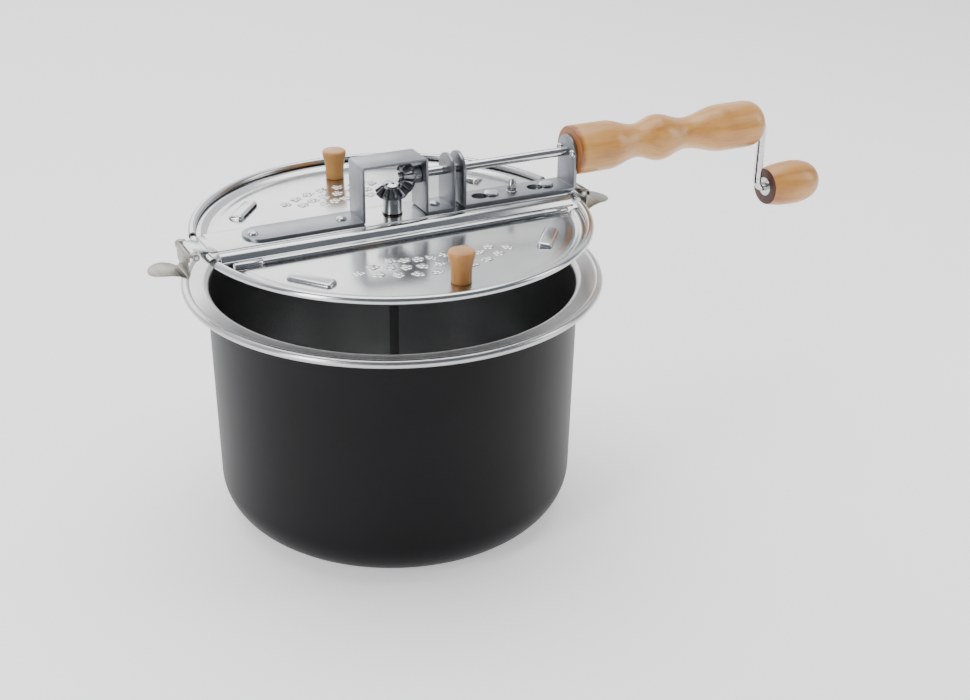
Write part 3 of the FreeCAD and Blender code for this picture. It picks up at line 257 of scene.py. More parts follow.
pot_shell.data.materials.append(coating)
pot_shell.data.materials.append(spun_aluminium)
for face in pot_shell.data.polygons:
    across = math.hypot(face.center.x, face.center.y)
    outward = (face.normal.x * face.center.x + face.normal.y * face.center.y) / across
    facing_in = outward < -0.05 or face.normal.z > 0.3 and face.center.z > 1 * MM
    face.material_index = 1 if facing_in or across > 112 * MM else 0
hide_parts("pot")
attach(pot_shell, "pot_body")

# ------------------------------------------------------------------ crossbar
# Pressed strap of bright aluminium sheet, 1 mm thick: a raised flat with rolled shoulders, a curled hinge
# barrel along each long edge, and a tongue at each end that curls round the clip pin.

lid_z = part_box("front_half_lid")[1].z / MM - 2.3
bar_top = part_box("crossbar")[1].z / MM - lid_z


def rounded_path(points, radius, steps=5):
    """A path with its corners rounded: each is a point or a point with its own radius."""
    out = [Vector(points[0][:2])]
    for before, here, after in zip(points, points[1:], points[2:]):
        bend = here[2] if len(here) > 2 else radius
        corner = Vector(here[:2])
        back = (Vector(before[:2]) - corner).normalized()
        ahead = (Vector(after[:2]) - corner).normalized()
        half = back.angle(ahead) / 2
        reach = bend / math.tan(half)
        centre = corner + (back + ahead).normalized() * (bend / math.sin(half))
        first = corner + back * reach - centre
        last = corner + ahead * reach - centre
        for step in range(steps + 1):
            out.append(centre + first.slerp(last, step / steps).normalized() * bend)
    return out + [Vector(points[-1][:2])]


def strip(name, path, thickness, widths, bevel=0.15):
    """Bent sheet: an edge across Y is extruded along a path of (x, z) and then gets its thickness.
    widths is the half width, or one for each point of the path. All in millimetres."""
    if isinstance(widths, (int, float)):
        widths = [widths] * len(path)
    bpy.ops.object.select_all(action="DESELECT")
    bpy.ops.mesh.primitive_plane_add(size=2 * widths[0] * MM)
    piece = bpy.context.object
    piece.name = name
    bpy.ops.object.mode_set(mode="EDIT")
    bpy.ops.mesh.select_all(action="SELECT")
    bpy.ops.transform.resize(value=(0, 1, 1), center_override=(0, 0, 0))
    bpy.ops.mesh.remove_doubles(threshold=0.001 * MM)
    bpy.ops.transform.translate(value=(path[0][0] * MM, 0, path[0][1] * MM))
    for index in range(1, len(path)):
        step = ((path[index][0] - path[index - 1][0]) * MM, 0, (path[index][1] - path[index - 1][1]) * MM)
        bpy.ops.mesh.extrude_region_move(TRANSFORM_OT_translate={"value": step})
        ratio = widths[index] / widths[index - 1]
        if abs(ratio - 1) > 1e-6:
            bpy.ops.transform.resize(value=(1, ratio, 1), center_override=(0, 0, 0))
    bpy.ops.mesh.select_all(action="SELECT")
    bpy.ops.mesh.normals_make_consistent(inside=False)
    bpy.ops.object.mode_set(mode="OBJECT")
    solid = piece.modifiers.new("sheet", "SOLIDIFY")
    solid.thickness = thickness * MM
    solid.offset = 0
    apply_all(piece)
    if bevel:
        round_edges(piece, bevel)
    return piece


def apply_all(piece):
    """Applies a piece's modifiers in order."""
    select_only(piece)
    for modifier in list(piece.modifiers):
        bpy.ops.object.modifier_apply(modifier=modifier.name)


def round_edges(piece, width, segments=2, angle=40):
    """Small rounding on the sharp edges, as deburring leaves it."""
    bevel = piece.modifiers.new("deburred", "BEVEL")
    bevel.width = width * MM
    bevel.segments = segments
    bevel.limit_method = "ANGLE"
    bevel.angle_limit = math.radians(angle)
    apply_all(piece)


def cut_away(piece, cutters):
    """Cuts the shapes of other objects out of a piece and removes them."""
    for cutter in cutters:
        cut = piece.modifiers.new("cut", "BOOLEAN")
        cut.operation = "DIFFERENCE"
        cut.solver = "EXACT"
        cut.object = cutter
        apply_all(piece)
        bpy.data.objects.remove(cutter)


def drill(radius, length, location, turn=(0, 0, 0), sides=32):
    """A drill for round holes: a cylinder in place."""
    bpy.ops.object.select_all(action="DESELECT")
    bpy.ops.mesh.primitive_cylinder_add(vertices=sides, radius=radius * MM, depth=length * MM)
    return place_piece(bpy.context.object, location, turn)


def block(size, location, turn=(0, 0, 0)):
    """A square-cornered cutter of a given size, in place."""
    bpy.ops.object.select_all(action="DESELECT")
    bpy.ops.mesh.primitive_cube_add(size=1)
    cutter = bpy.context.object
    cutter.scale = Vector(size) * MM
    return place_piece(cutter, location, turn)


def join(name, parts):
    """Joins several meshes into one named piece."""
    select_only(parts[0])
    for part in parts[1:]:
        part.select_set(True)
    if len(parts) > 1:
        bpy.ops.object.join()
    parts[0].name = name
    return parts[0]


def tube(name, inner, outer, length, location, turn, bevel=0.15, segments=28):
    """A short plain tube with softened ends, in place."""
    half = length / 2
    outline = [(inner, -half + bevel), (inner + bevel, -half), (outer - bevel, -half), (outer, -half + bevel),
               (outer, half - bevel), (outer - bevel, half), (inner + bevel, half), (inner, half - bevel),
               (inner, -half + bevel)]
    piece = turned(name, outline, segments)
    smooth(piece, 50)
    return place_piece(piece, location, turn)


HINGE_Y = 23.6
HINGE_Z = -2.3
BARREL_R = 1.9
BARREL_HALF = 87.7
PIN_X = 121.5
PIN_Z = 2.0
CURL_R = 115.2
STRAP_SHEET = 1.0
STRAP_HALF = 109.5
FLAT_HALF = 13
TONGUE_HALF = 9
FLAT_Z = bar_top - STRAP_SHEET / 2
LIP_Z = -0.9

# Section of the strap from its middle out: the flat, a small step, the rolled shoulder and the groove.
section_half = rounded_path([
    (0, FLAT_Z), (12.85, FLAT_Z, 0.1), (13.1, FLAT_Z - 0.5, 0.1), (17.2, FLAT_Z - 0.75, 4.2),
    (20.0, -1.2, 0.8), (21.4, -0.95)], 3, 6)
section = [(-y, z) for y, z in reversed(section_half[1:])] + [tuple(point) for point in section_half]
strap = strip("crossbar_strap", section, STRAP_SHEET, STRAP_HALF)
place_piece(strap, (0, 0, lid_z), (0, 0, 90))

lip = strip("barrel_lip", [(21.0, LIP_Z), (HINGE_Y, LIP_Z)], STRAP_SHEET, BARREL_HALF, 0.1)
place_piece(lip, (0, 0, lid_z), (0, 0, 90))
barrel_place = (0, HINGE_Y, lid_z + HINGE_Z)
barrel = tube("hinge_barrel", 1.0, BARREL_R, 2 * BARREL_HALF, barrel_place, (0, 90, 0))

# The tongue drops a little behind the flat's end, rides over the rim and ends in the curl round the pin.
tongue_path = [(STRAP_HALF - 0.2, FLAT_Z), (112.9, FLAT_Z), (113.3, FLAT_Z - 0.9), (114.4, FLAT_Z - 1.0),
               (116.6, FLAT_Z - 0.3), (118.6, FLAT_Z), (PIN_X, FLAT_Z)]
tongue = strip("tongue", tongue_path, STRAP_SHEET, [FLAT_HALF] * 2 + [TONGUE_HALF] * 5, 0.1)
place_piece(tongue, (0, 0, lid_z))
curl = tube("pin_curl", 1.0, 2.0, 2 * TONGUE_HALF, (PIN_X, 0, lid_z + PIN_Z), (90, 0, 0))

# A short piece of rolled rim under the tongue closes the ring between the two half-lids.
rim_angle = math.degrees(math.asin(18.3 / CURL_R))
bpy.ops.object.select_all(action="DESELECT")
bpy.ops.mesh.primitive_circle_add(vertices=20, radius=2.3 * MM, rotation=(math.pi / 2, 0, 0),
                                  location=(CURL_R * MM, 0, 0), fill_type="NGON")
rim_piece = bpy.context.object
bpy.ops.object.transform_apply(location=True, rotation=True, scale=True)
bpy.ops.object.mode_set(mode="EDIT")
bpy.ops.mesh.select_all(action="SELECT")
bpy.ops.mesh.spin(steps=12, angle=math.radians(2 * rim_angle), center=(0, 0, 0), axis=(0, 0, 1))
bpy.ops.mesh.select_all(action="SELECT")
bpy.ops.mesh.normals_make_consistent(inside=False)
bpy.ops.object.mode_set(mode="OBJECT")
smooth(rim_piece, 50)
place_piece(rim_piece, (0, 0, lid_z), (0, 0, rim_angle + 180))

one_side = [lip, barrel, tongue, curl, rim_piece]
bar_parts = [strap] + one_side + [copied(part, turn=(0, 0, 180)) for part in one_side]
crossbar_sheet = join("crossbar_sheet", bar_parts)
smooth(crossbar_sheet, 30)

# Rolled aluminium sheet, bright from the mill: a mild mirror with long faint roll lines along X.
rolled_aluminium, tree, shader = new_finish("rolled_aluminium_sheet", Metallic=1.0, Roughness=0.2)
coords = add_node(tree, "TexCoord").outputs["Object"]
stretch = add_node(tree, "Mapping", Vector=coords, Scale=(6.0, 420.0, 420.0)).outputs["Vector"]
lines = add_node(tree, "TexNoise", Vector=stretch, Scale=1.0, Detail=3.0).outputs["Fac"]
patches = add_node(tree, "TexNoise", Vector=coords, Scale=30.0, Detail=3.0).outputs["Fac"]
add_node(tree, "ValToRGB", {"stops": [(0.3, "#bcbec0"), (0.7, "#cacbcb")],
                            "to": {"Color": shader.inputs["Base Color"]}}, Fac=patches)
add_node(tree, "Bump", {"to": {"Normal": shader.inputs["Normal"]}}, Height=lines, Distance=0.006 * MM)
crossbar_sheet.data.materials.clear()
crossbar_sheet.data.materials.append(rolled_aluminium)
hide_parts("crossbar")
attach(crossbar_sheet, "lid_frame")

# ------------------------------------------------------------------ hinge wires and clip pins
# Straight lengths of plated steel wire, cut off square: two hinge wires and two clip pins.

# Zinc plating on drawn wire: bright grey with fine specks.
plated_wire, tree, shader = new_finish("zinc_plated_wire", Metallic=1.0, Roughness=0.3)
coords = add_node(tree, "TexCoord").outputs["Object"]
specks = add_node(tree, "TexNoise", Vector=coords, Scale=400.0, Detail=3.0).outputs["Fac"]
add_node(tree, "ValToRGB", {"stops": [(0.3, "#b4b6b8"), (0.7, "#d0d1d2")],
                            "to": {"Color": shader.inputs["Base Color"]}}, Fac=specks)


def finish_node(name, material):
    """Gives a CAD node its material."""
    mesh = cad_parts[name].data
    mesh.materials.clear()
    mesh.materials.append(material)


for wire in ("front_hinge_wire", "rear_hinge_wire", "left_clip_pin", "right_clip_pin"):
    finish_node(wire, plated_wire)

# ------------------------------------------------------------------ half-lids
# Two pressed half-discs of the same sheet: curled rim, a gutter that seats in the pot, hinge knuckles,
# two louvred vents each, and three rows of popped kernels in low relief.

LID_SHEET = 0.8
PLATE_MID = -3.8
PLATE_TOP = PLATE_MID + LID_SHEET / 2
CUT_Y = HINGE_Y + 0.4
NOTCH_Y = 26
KNUCKLE_X = 96
VENT_R = 91.9
VENT_ANGLE = 38.4
VENT_LONG = 28
lid_outline = [(0, PLATE_MID), (100.6, PLATE_MID), (102.4, -3.95), (103.6, -4.2), (106.6, -4.2),
               (107.7, -3.9), (109.3, -2.6), (110.6, -2.0), (112.3, -1.9)]
lid_outline += arc(CURL_R, 0, 1.9, 270, 560, 24)


def make_louvre():
    """A pressed louvre: a low smooth pad that sinks into the plate behind and has a slit in front."""
    hood = block((9.2, VENT_LONG, 6), (0, 0, 0))
    round_edges(hood, 2.4, 7, 30)
    place_piece(hood, (0, 0, -0.55), (0, 7, 0))
    cut_away(hood, [block((7, 21.5, 1.3), (-3.5, 0, 0.7))])
    smooth(hood, 50)
    return hood


def make_kernel():
    """One popped kernel in low relief: five unequal lobes round a seed."""
    bpy.ops.object.select_all(action="DESELECT")
    bpy.ops.mesh.primitive_uv_sphere_add(segments=14, ring_count=8, radius=1.9 * MM)
    lobe = bpy.context.object
    bpy.ops.object.mode_set(mode="EDIT")
    bpy.ops.mesh.select_all(action="SELECT")
    bpy.ops.transform.resize(value=(1, 0.9, 0.45), center_override=(0, 0, 0))
    bpy.ops.object.mode_set(mode="OBJECT")
    smooth(lobe, 60)
    parts = [lobe]
    for index in range(5):
        turn = math.radians(index * 72 + 12)
        reach = 2.5 if index % 2 else 1.9
        spot = (reach * math.cos(turn), reach * math.sin(turn), -0.12 * index)
        parts.append(copied(lobe, spot, (0, 0, index * 40)))
    return join("kernel_relief", parts)


kernel = make_kernel()


def emboss():
    """Raised ornament on the front half-lid: three close rows of popped kernels."""
    raised = []
    for row, (radius, count) in enumerate(((54, 7), (64, 9), (74, 10))):
        for index in range(count):
            angle = -90 + (index - (count - 1) / 2) * 8.4
            turn = math.radians(angle)
            spot = (radius * math.cos(turn), radius * math.sin(turn), PLATE_TOP)
            raised.append(copied(kernel, spot, (0, 0, angle + 47 * index + 20 * row)))
    return raised


def half_disc():
    """The front half of the sheet, cut along the hinge, with its notch and the openings of its vents."""
    sheet_piece = turned("lid_disc", lid_outline, 192)
    solid = sheet_piece.modifiers.new("sheet", "SOLIDIFY")
    solid.thickness = LID_SHEET * MM
    solid.offset = 0
    apply_all(sheet_piece)
    cutters = [block((240, 200, 20), (0, 100 - CUT_Y, 0))]
    cutters.append(block((2 * BARREL_HALF, 10, 20), (0, 5 - NOTCH_Y, 0)))
    reach = VENT_R - 1.5
    for angle in (VENT_ANGLE - 180, -VENT_ANGLE):
        turn = math.radians(angle)
        spot = (reach * math.cos(turn), reach * math.sin(turn), PLATE_MID)
        cutters.append(block((4.0, VENT_LONG - 7, 6), spot, (0, 0, angle)))
    cut_away(sheet_piece, cutters)
    smooth(sheet_piece, 35)
    return sheet_piece


knuckle = tube("lid_knuckle", 1.05, BARREL_R, 16, (0, -HINGE_Y, HINGE_Z), (0, 90, 0))
bridge = strip("knuckle_bridge", [(0, PLATE_MID), (3.4, PLATE_MID)], LID_SHEET, 8, 0.1)
place_piece(bridge, (0, 0.2 - CUT_Y, 0), (0, 0, -90))
louvre = make_louvre()
lid_parts = [half_disc()] + emboss()
for side in (-1, 1):
    lid_parts += [copied(part, (side * KNUCKLE_X, 0, 0)) for part in (knuckle, bridge)]
    angle = -90 + side * (90 - VENT_ANGLE)
    turn = math.radians(angle)
    spot = (VENT_R * math.cos(turn), VENT_R * math.sin(turn), PLATE_TOP)
    lid_parts.append(copied(louvre, spot, (0, 0, angle)))
half_lid = join("half_lid_sheet", lid_parts)
place_piece(half_lid, (0, 0, lid_z))
half_lid.data.materials.clear()
half_lid.data.materials.append(rolled_aluminium)
for lid_name, turn in (("front", 0), ("rear", 180)):
    lid_sheet = copied(half_lid, turn=(0, 0, turn))
    lid_sheet.name = lid_name + "_lid_sheet"
    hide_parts(lid_name + "_half_lid")
    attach(lid_sheet, lid_name + "_lid")
for pattern in (half_lid, knuckle, bridge, louvre, kernel):
    bpy.data.objects.remove(pattern)

# ------------------------------------------------------------------ lid knobs and their screws
# Small turned knobs of pale beech, clear lacquered, each held by a plated pan-head screw from below.


def lacquered_wood(name, light, middle, dark, along, roughness=0.34, darkened_up_to=None):
    """Lacquered beech: long grain along one axis, soft growth bands and short dark pore flecks.
    Up to darkened_up_to, in metres along X, the wood is coloured darker."""
    material, tree, shader = new_finish(name, Roughness=roughness, Coat_Weight=0.25, Coat_Roughness=0.25)
    coords = add_node(tree, "TexCoord").outputs["Object"]
    long_way = {"x": (7.0, 60.0, 60.0), "z": (60.0, 60.0, 7.0)}[along]
    pores_way = {"x": (70.0, 900.0, 900.0), "z": (900.0, 900.0, 70.0)}[along]
    bands = add_node(tree, "Mapping", Vector=coords, Scale=long_way).outputs["Vector"]
    grain = add_node(tree, "TexNoise", Vector=bands, Scale=1.0, Detail=5.0, Distortion=0.8).outputs["Fac"]
    fine = add_node(tree, "Mapping", Vector=coords, Scale=pores_way).outputs["Vector"]
    pores = add_node(tree, "TexNoise", Vector=fine, Scale=1.0, Detail=2.0).outputs["Fac"]
    blotches = add_node(tree, "TexNoise", Vector=coords, Scale=45.0, Detail=2.0).outputs["Fac"]
    mixed = grain
    for source, weight in ((pores, 0.2), (blotches, 0.45)):
        total = add_node(tree, "Math", {"operation": "MULTIPLY_ADD"})
        tree.links.new(source, total.inputs[0])
        total.inputs[1].default_value = weight
        tree.links.new(mixed, total.inputs[2])
        mixed = total.outputs[0]
    if darkened_up_to:
        along_x = add_node(tree, "SeparateXYZ", Vector=coords).outputs["X"]
        shade = add_node(tree, "MapRange", Value=along_x, From_Min=darkened_up_to - 0.0015, From_Max=darkened_up_to + 0.003,
                         To_Min=-0.5, To_Max=0.0).outputs["Result"]
        total = add_node(tree, "Math", {"operation": "ADD"})
        tree.links.new(mixed, total.inputs[0])
        tree.links.new(shade, total.inputs[1])
        mixed = total.outputs[0]
    add_node(tree, "ValToRGB", {"stops": [(0.5, dark), (0.76, middle), (0.98, light)],
                                "to": {"Color": shader.inputs["Base Color"]}}, Fac=mixed)
    add_node(tree, "Bump", {"to": {"Normal": shader.inputs["Normal"]}}, Height=pores, Distance=0.02 * MM)
    return material


pale_beech = lacquered_wood("pale_lacquered_beech", "#c9924e", "#bb8240", "#96601f", "z", 0.45)
knob_low, knob_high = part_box("front_lid_knob")
knob_height = (knob_high.z - knob_low.z) / MM
outline = [(0, 0), (5.3, 0), (5.75, 0.4), (5.7, 3), (5.75, 6), (6.05, 9), (6.6, 12), (7.2, 14.6)]
outline.append((7.45, 16.3))
outline += arc(6.1, knob_height - 1.55, 1.35, 15, 80, 6) + [(3.2, knob_height - 0.04), (0, knob_height)]
lid_knob = turned("lid_knob_wood", outline, 48)
smooth(lid_knob, 50)
lid_knob.data.materials.append(pale_beech)
for lid_name in ("front", "rear"):
    knob_low, knob_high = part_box(lid_name + "_lid_knob")
    knob = copied(lid_knob, (0, (knob_low.y + knob_high.y) / 2 / MM, knob_low.z / MM))
    knob.name = lid_name + "_lid_knob_wood"
    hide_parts(lid_name + "_lid_knob")
    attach(knob, lid_name + "_lid")
bpy.data.objects.remove(lid_knob)

# Zinc-plated fasteners: cool, slightly mottled and duller than the sheet.
plated_steel, tree, shader = new_finish("zinc_plated_fastener_steel", Metallic=1.0, Roughness=0.26)
coords = add_node(tree, "TexCoord").outputs["Object"]
mottle = add_node(tree, "TexNoise", Vector=coords, Scale=220.0, Detail=4.0).outputs["Fac"]
add_node(tree, "ValToRGB", {"stops": [(0.3, "#a9acae"), (0.7, "#cfd0d2")],
                            "to": {"Color": shader.inputs["Base Color"]}}, Fac=mottle)
add_node(tree, "Bump", {"to": {"Normal": shader.inputs["Normal"]}}, Height=mottle, Distance=0.01 * MM)
for screw in ("front_knob_screw", "rear_knob_screw", "drive_gear_pin", "driven_gear_pin", "knob_retainer",
              "stirrer_clip", "bracket_stud", "knob_ferrule"):
    finish_node(screw, plated_steel)

# ------------------------------------------------------------------ clips
# Spring clips of thin stainless strip: two curled knuckles, a leg with a hooking bend, and an arched
# finger tab with a rounded end.

# Stainless strip, left as rolled: a soft grey mirror with faint streaks across the tab.
spring_steel, tree, shader = new_finish("stainless_spring_strip", Metallic=1.0, Roughness=0.33)
coords = add_node(tree, "TexCoord").outputs["Object"]
brushed = add_node(tree, "Mapping", Vector=coords, Scale=(500.0, 15.0, 500.0)).outputs["Vector"]
streaks = add_node(tree, "TexNoise", Vector=brushed, Scale=1.0, Detail=3.0).outputs["Fac"]
add_node(tree, "ValToRGB", {"stops": [(0.3, "#84827b"), (0.7, "#98958c")],
                            "to": {"Color": shader.inputs["Base Color"]}}, Fac=streaks)
add_node(tree, "Bump", {"to": {"Normal": shader.inputs["Normal"]}}, Height=streaks, Distance=0.01 * MM)

CLIP_SHEET = 0.8
LEG_X = 4.1
RAIL_HALF = 13.3
TAB_HALF = 10.0
TAB_CENTRE = 14.0
CLIP_KNUCKLE_Y = 11.3
TOP_Z = 1.6

# The strip about its pin: down past the rim, in to the hooking bend, out at the foot and along the tab.
clip_path = rounded_path([
    (2.9, TOP_Z), (LEG_X, 0.45, 1.0), (LEG_X, -7.6, 3.0), (3.2, -10.0, 0.8), (4.4, -12.75, 1.2),
    (9.2, -10.2, 5), (TAB_CENTRE, -8.9, 8), (19.0, -8.95, 10), (23.95, -9.8)], 2, 5)


def make_clip():
    """One clip about its pin, reaching towards +X: a wide rail, a narrower leg and a rounded tab."""
    step_down = Vector((LEG_X, -1.9))
    rail = [point for point in clip_path if point.y > step_down.y] + [step_down]
    leg = [step_down] + [point for point in clip_path if point.y < step_down.y]
    path, widths = [], []
    for start, stop in zip(leg, leg[1:]):
        count = 6 if start.x > TAB_CENTRE and (stop - start).length > 1 else 1
        path += [start.lerp(stop, step / count) for step in range(count)]
    path.append(leg[-1])
    for point in path:
        share = max(0.0, point.x - TAB_CENTRE) / TAB_HALF
        widths.append(TAB_HALF * math.sqrt(max(0.02, 1 - share * share)))
    knuckle = tube("clip_knuckle", 1.05, 2.0, 4, (0, -CLIP_KNUCKLE_Y, 0), (90, 0, 0))
    web = strip("knuckle_web", [(0, TOP_Z), (2.95, TOP_Z)], CLIP_SHEET, 2, 0.1)
    place_piece(web, (0, -CLIP_KNUCKLE_Y, 0))
    parts = [strip("clip_leg", [tuple(point) for point in path], CLIP_SHEET, widths, 0.12)]
    parts.append(strip("clip_rail", [tuple(point) for point in rail], CLIP_SHEET, RAIL_HALF, 0.12))
    parts += [knuckle, web]
    parts += [copied(part, (0, 2 * CLIP_KNUCKLE_Y, 0)) for part in (knuckle, web)]
    clip = join("spring_clip", parts)
    smooth(clip, 35)
    return clip


spring_clip = make_clip()
spring_clip.data.materials.clear()
spring_clip.data.materials.append(spring_steel)
for clip_name, side in (("left", -1), ("right", 1)):
    clip = copied(spring_clip, (side * PIN_X, 0, lid_z + PIN_Z), (0, 0, 0 if side > 0 else 180))
    clip.name = clip_name + "_spring_clip"
    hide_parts(clip_name + "_clip")
    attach(clip, clip_name + "_clip_leaf")
bpy.data.objects.remove(spring_clip)

# ------------------------------------------------------------------ gear bracket and its rivets
# One strip of 1.5 mm zinc-plated steel, bent five times: a riveted tail, a bridge over the gears, a foot
# and an ear that carries the crank rod.

# Zinc plate on rolled steel: satin, cool grey and slightly hazy.
bracket_steel, tree, shader = new_finish("satin_zinc_plated_steel_sheet", Metallic=1.0, Roughness=0.36)
coords = add_node(tree, "TexCoord").outputs["Object"]
haze = add_node(tree, "TexNoise", Vector=coords, Scale=60.0, Detail=5.0).outputs["Fac"]
add_node(tree, "ValToRGB", {"stops": [(0.3, "#85888d"), (0.7, "#999ba0")],
                            "to": {"Color": shader.inputs["Base Color"]}}, Fac=haze)
grit = add_node(tree, "TexNoise", Vector=coords, Scale=900.0, Detail=2.0).outputs["Fac"]
add_node(tree, "Bump", {"to": {"Normal": shader.inputs["Normal"]}}, Height=grit, Distance=0.012 * MM)

AXIS_Z = 26.0
BRACKET_SHEET = 1.5
BRACKET_HALF = 10.3
ROD_BORE = 2.8


def rounded_end(path, half, tail, steps=8):
    """Half widths for a strip that starts in a half circle; adds the points it needs to the path."""
    start, second = Vector(path[0]), Vector(path[1])
    ahead = (second - start).normalized()
    points, widths = [], []
    for step in range(steps):
        angle = math.pi / 2 * (step + 0.35) / (steps + 0.35)
        points.append(start + ahead * tail * (1 - math.cos(angle)))
        widths.append(half * math.sin(angle))
    points.append(start + ahead * tail)
    widths.append(half)
    rest = [Vector(point) for point in path[1:]]
    return points + rest, widths + [half] * len(rest)


def both_ends_rounded(path, half, start_tail, stop_tail):
    """A path and its half widths for a strip with both ends rounded over the given tails."""
    path, widths = rounded_end(path, half, start_tail)
    kept = len(path) - 1
    path, stop_widths = rounded_end(list(reversed(path)), half, stop_tail)
    return [tuple(point) for point in path], stop_widths[:len(path) - kept] + list(reversed(widths[:kept]))


top_mid = 37.25
foot_mid = bar_top + BRACKET_SHEET / 2
LEFT_LEG_X = -21.75
RIGHT_LEG_X = 17.75
EAR_X = 35.25
path, widths = both_ends_rounded(rounded_path([
    (-91, foot_mid), (LEFT_LEG_X, foot_mid), (LEFT_LEG_X, top_mid), (RIGHT_LEG_X, top_mid),
    (RIGHT_LEG_X, foot_mid), (EAR_X, foot_mid), (EAR_X, 35.9)], 0.85, 4), BRACKET_HALF, BRACKET_HALF, 9.0)
bracket = strip("gear_bracket_sheet", path, BRACKET_SHEET, widths, 0.12)
place_piece(bracket, (0, 0, lid_z))
cut_away(bracket, [drill(ROD_BORE, 24, (27, 0, lid_z + AXIS_Z), (0, 90, 0))])
smooth(bracket, 35)
bracket.data.materials.clear()
bracket.data.materials.append(bracket_steel)
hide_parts("gear_bracket")
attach(bracket, "lid_frame")

# Snap heads: a dome flattened to three fifths of its height.
outline = [(0, -2.5), (1.6, -2.5), (1.6, 0), (3.0, 0)] + arc(0, 0, 3.2, 4, 84, 7) + [(0, 3.2)]
outline = [(radius, height * (0.6 if height > 0 else 1)) for radius, height in outline]
rivet = turned("rivet", outline, 32)
smooth(rivet, 50)
place_piece(rivet, (0, 0, lid_z + bar_top + BRACKET_SHEET))
rivet_parts = [copied(rivet, (x, 0, 0)) for x in (-85, -32, 27)]
bpy.data.objects.remove(rivet)
rivets = join("bracket_rivet_heads", rivet_parts)
rivets.data.materials.append(plated_steel)
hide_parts("bracket_rivets")
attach(rivets, "lid_frame")

# ------------------------------------------------------------------ bevel gears
# Two equal zinc castings with nine blunt teeth on a 45 degree cone and a plain hub, dull on the teeth.

# Die-cast zinc, tumbled: dull grey teeth with a slightly rough skin.
cast_zinc, tree, shader = new_finish("tumbled_zinc_casting", Metallic=1.0, Roughness=0.38)
coords = add_node(tree, "TexCoord").outputs["Object"]
skin = add_node(tree, "TexNoise", Vector=coords, Scale=350.0, Detail=4.0).outputs["Fac"]
add_node(tree, "ValToRGB", {"stops": [(0.3, "#54565a"), (0.7, "#808286")],
                            "to": {"Color": shader.inputs["Base Color"]}}, Fac=skin)
add_node(tree, "Bump", {"to": {"Normal": shader.inputs["Normal"]}}, Height=skin, Distance=0.05 * MM)

# Hub faces are turned after casting and come out brighter.
turned_hub, tree, shader = new_finish("turned_zinc_hub", Metallic=1.0, Roughness=0.28)
coords = add_node(tree, "TexCoord").outputs["Object"]
cloud = add_node(tree, "TexNoise", Vector=coords, Scale=200.0, Detail=3.0).outputs["Fac"]
add_node(tree, "ValToRGB", {"stops": [(0.3, "#b4b6b9"), (0.7, "#cccdcf")],
                            "to": {"Color": shader.inputs["Base Color"]}}, Fac=cloud)

PITCH = 9.5
TEETH = 9
FACE = 6.0
ABOVE = 1.3
BELOW = 1.7
SUNK = 0.4
TOOTH_THICK = 3.45
HUB_R = 5.5
GEAR_BORE = 2.5
inner_share = (PITCH - FACE / math.sqrt(2)) / PITCH


def taper(piece, chosen, scale):
    """Scales the corners that chosen picks by their place, about the origin."""
    select_only(piece)
    bpy.ops.object.mode_set(mode="EDIT")
    bpy.ops.mesh.select_all(action="DESELECT")
    bpy.ops.object.mode_set(mode="OBJECT")
    for vertex in piece.data.vertices:
        vertex.select = chosen(vertex.co)
    bpy.ops.object.mode_set(mode="EDIT")
    bpy.ops.transform.resize(value=scale, center_override=(0, 0, 0))
    bpy.ops.object.mode_set(mode="OBJECT")


def make_gear(name, hub_length):
    """One gear with its cone's point at the origin and its hub along +Z."""
    step = 1 / math.sqrt(2)
    root = Vector((PITCH - BELOW * step, PITCH + BELOW * step))
    front = root.y * inner_share
    outline = [(GEAR_BORE, front), (root.x * inner_share, front), (root.x, root.y),
               (root.x - 0.2, root.y + 0.4), (HUB_R + 0.2, root.y + 1.0), (HUB_R, root.y + 1.3),
               (HUB_R, hub_length - 0.4), (HUB_R - 0.4, hub_length), (GEAR_BORE, hub_length),
               (GEAR_BORE, front)]
    blank = turned(name, outline, 48)
    smooth(blank, 35)
    height = ABOVE + BELOW + SUNK
    bpy.ops.object.select_all(action="DESELECT")
    bpy.ops.mesh.primitive_cube_add(size=1)
    tooth = bpy.context.object
    tooth.scale = (height * MM, TOOTH_THICK * MM, FACE * MM)
    bpy.ops.object.transform_apply(scale=True)
    taper(tooth, lambda place: place.x > 0, (1, 0.5, 1))
    taper(tooth, lambda place: place.z < 0, (inner_share, inner_share, 1))
    round_edges(tooth, 0.42, 4, 20)
    smooth(tooth, 60)
    place_piece(tooth, ((ABOVE - BELOW - SUNK) / 2, 0, -FACE / 2))
    place_piece(tooth, (PITCH, 0, PITCH), (0, 45, 0))
    turns = [index * 360 / TEETH for index in range(1, TEETH)]
    gear = join(name, [blank, tooth] + [copied(tooth, turn=(0, 0, turn)) for turn in turns])
    gear.data.materials.append(cast_zinc)
    gear.data.materials.append(turned_hub)
    for face in gear.data.polygons:
        face.material_index = 1 if face.center.z > (root.y + 1.1) * MM else 0
    return gear


drive_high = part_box("drive_gear")[1].x / MM
driven_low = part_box("driven_gear")[0].z / MM
drive = make_gear("drive_gear_casting", drive_high)
place_piece(drive, (0, 0, lid_z + AXIS_Z), (0, 90, 0))
driven = make_gear("driven_gear_casting", lid_z + AXIS_Z - driven_low)
place_piece(driven, (0, 0, lid_z + AXIS_Z), (0, 180, 0))
for gear, node, body in ((drive, "drive_gear", "crank"), (driven, "driven_gear", "stirrer")):
    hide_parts(node)
    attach(gear, body)

# ------------------------------------------------------------------ stirrer
# Polished plated shaft and wire under the lid, in a turned brass bush that oil has darkened. The crank rod
# above the lid is the same bar stock.

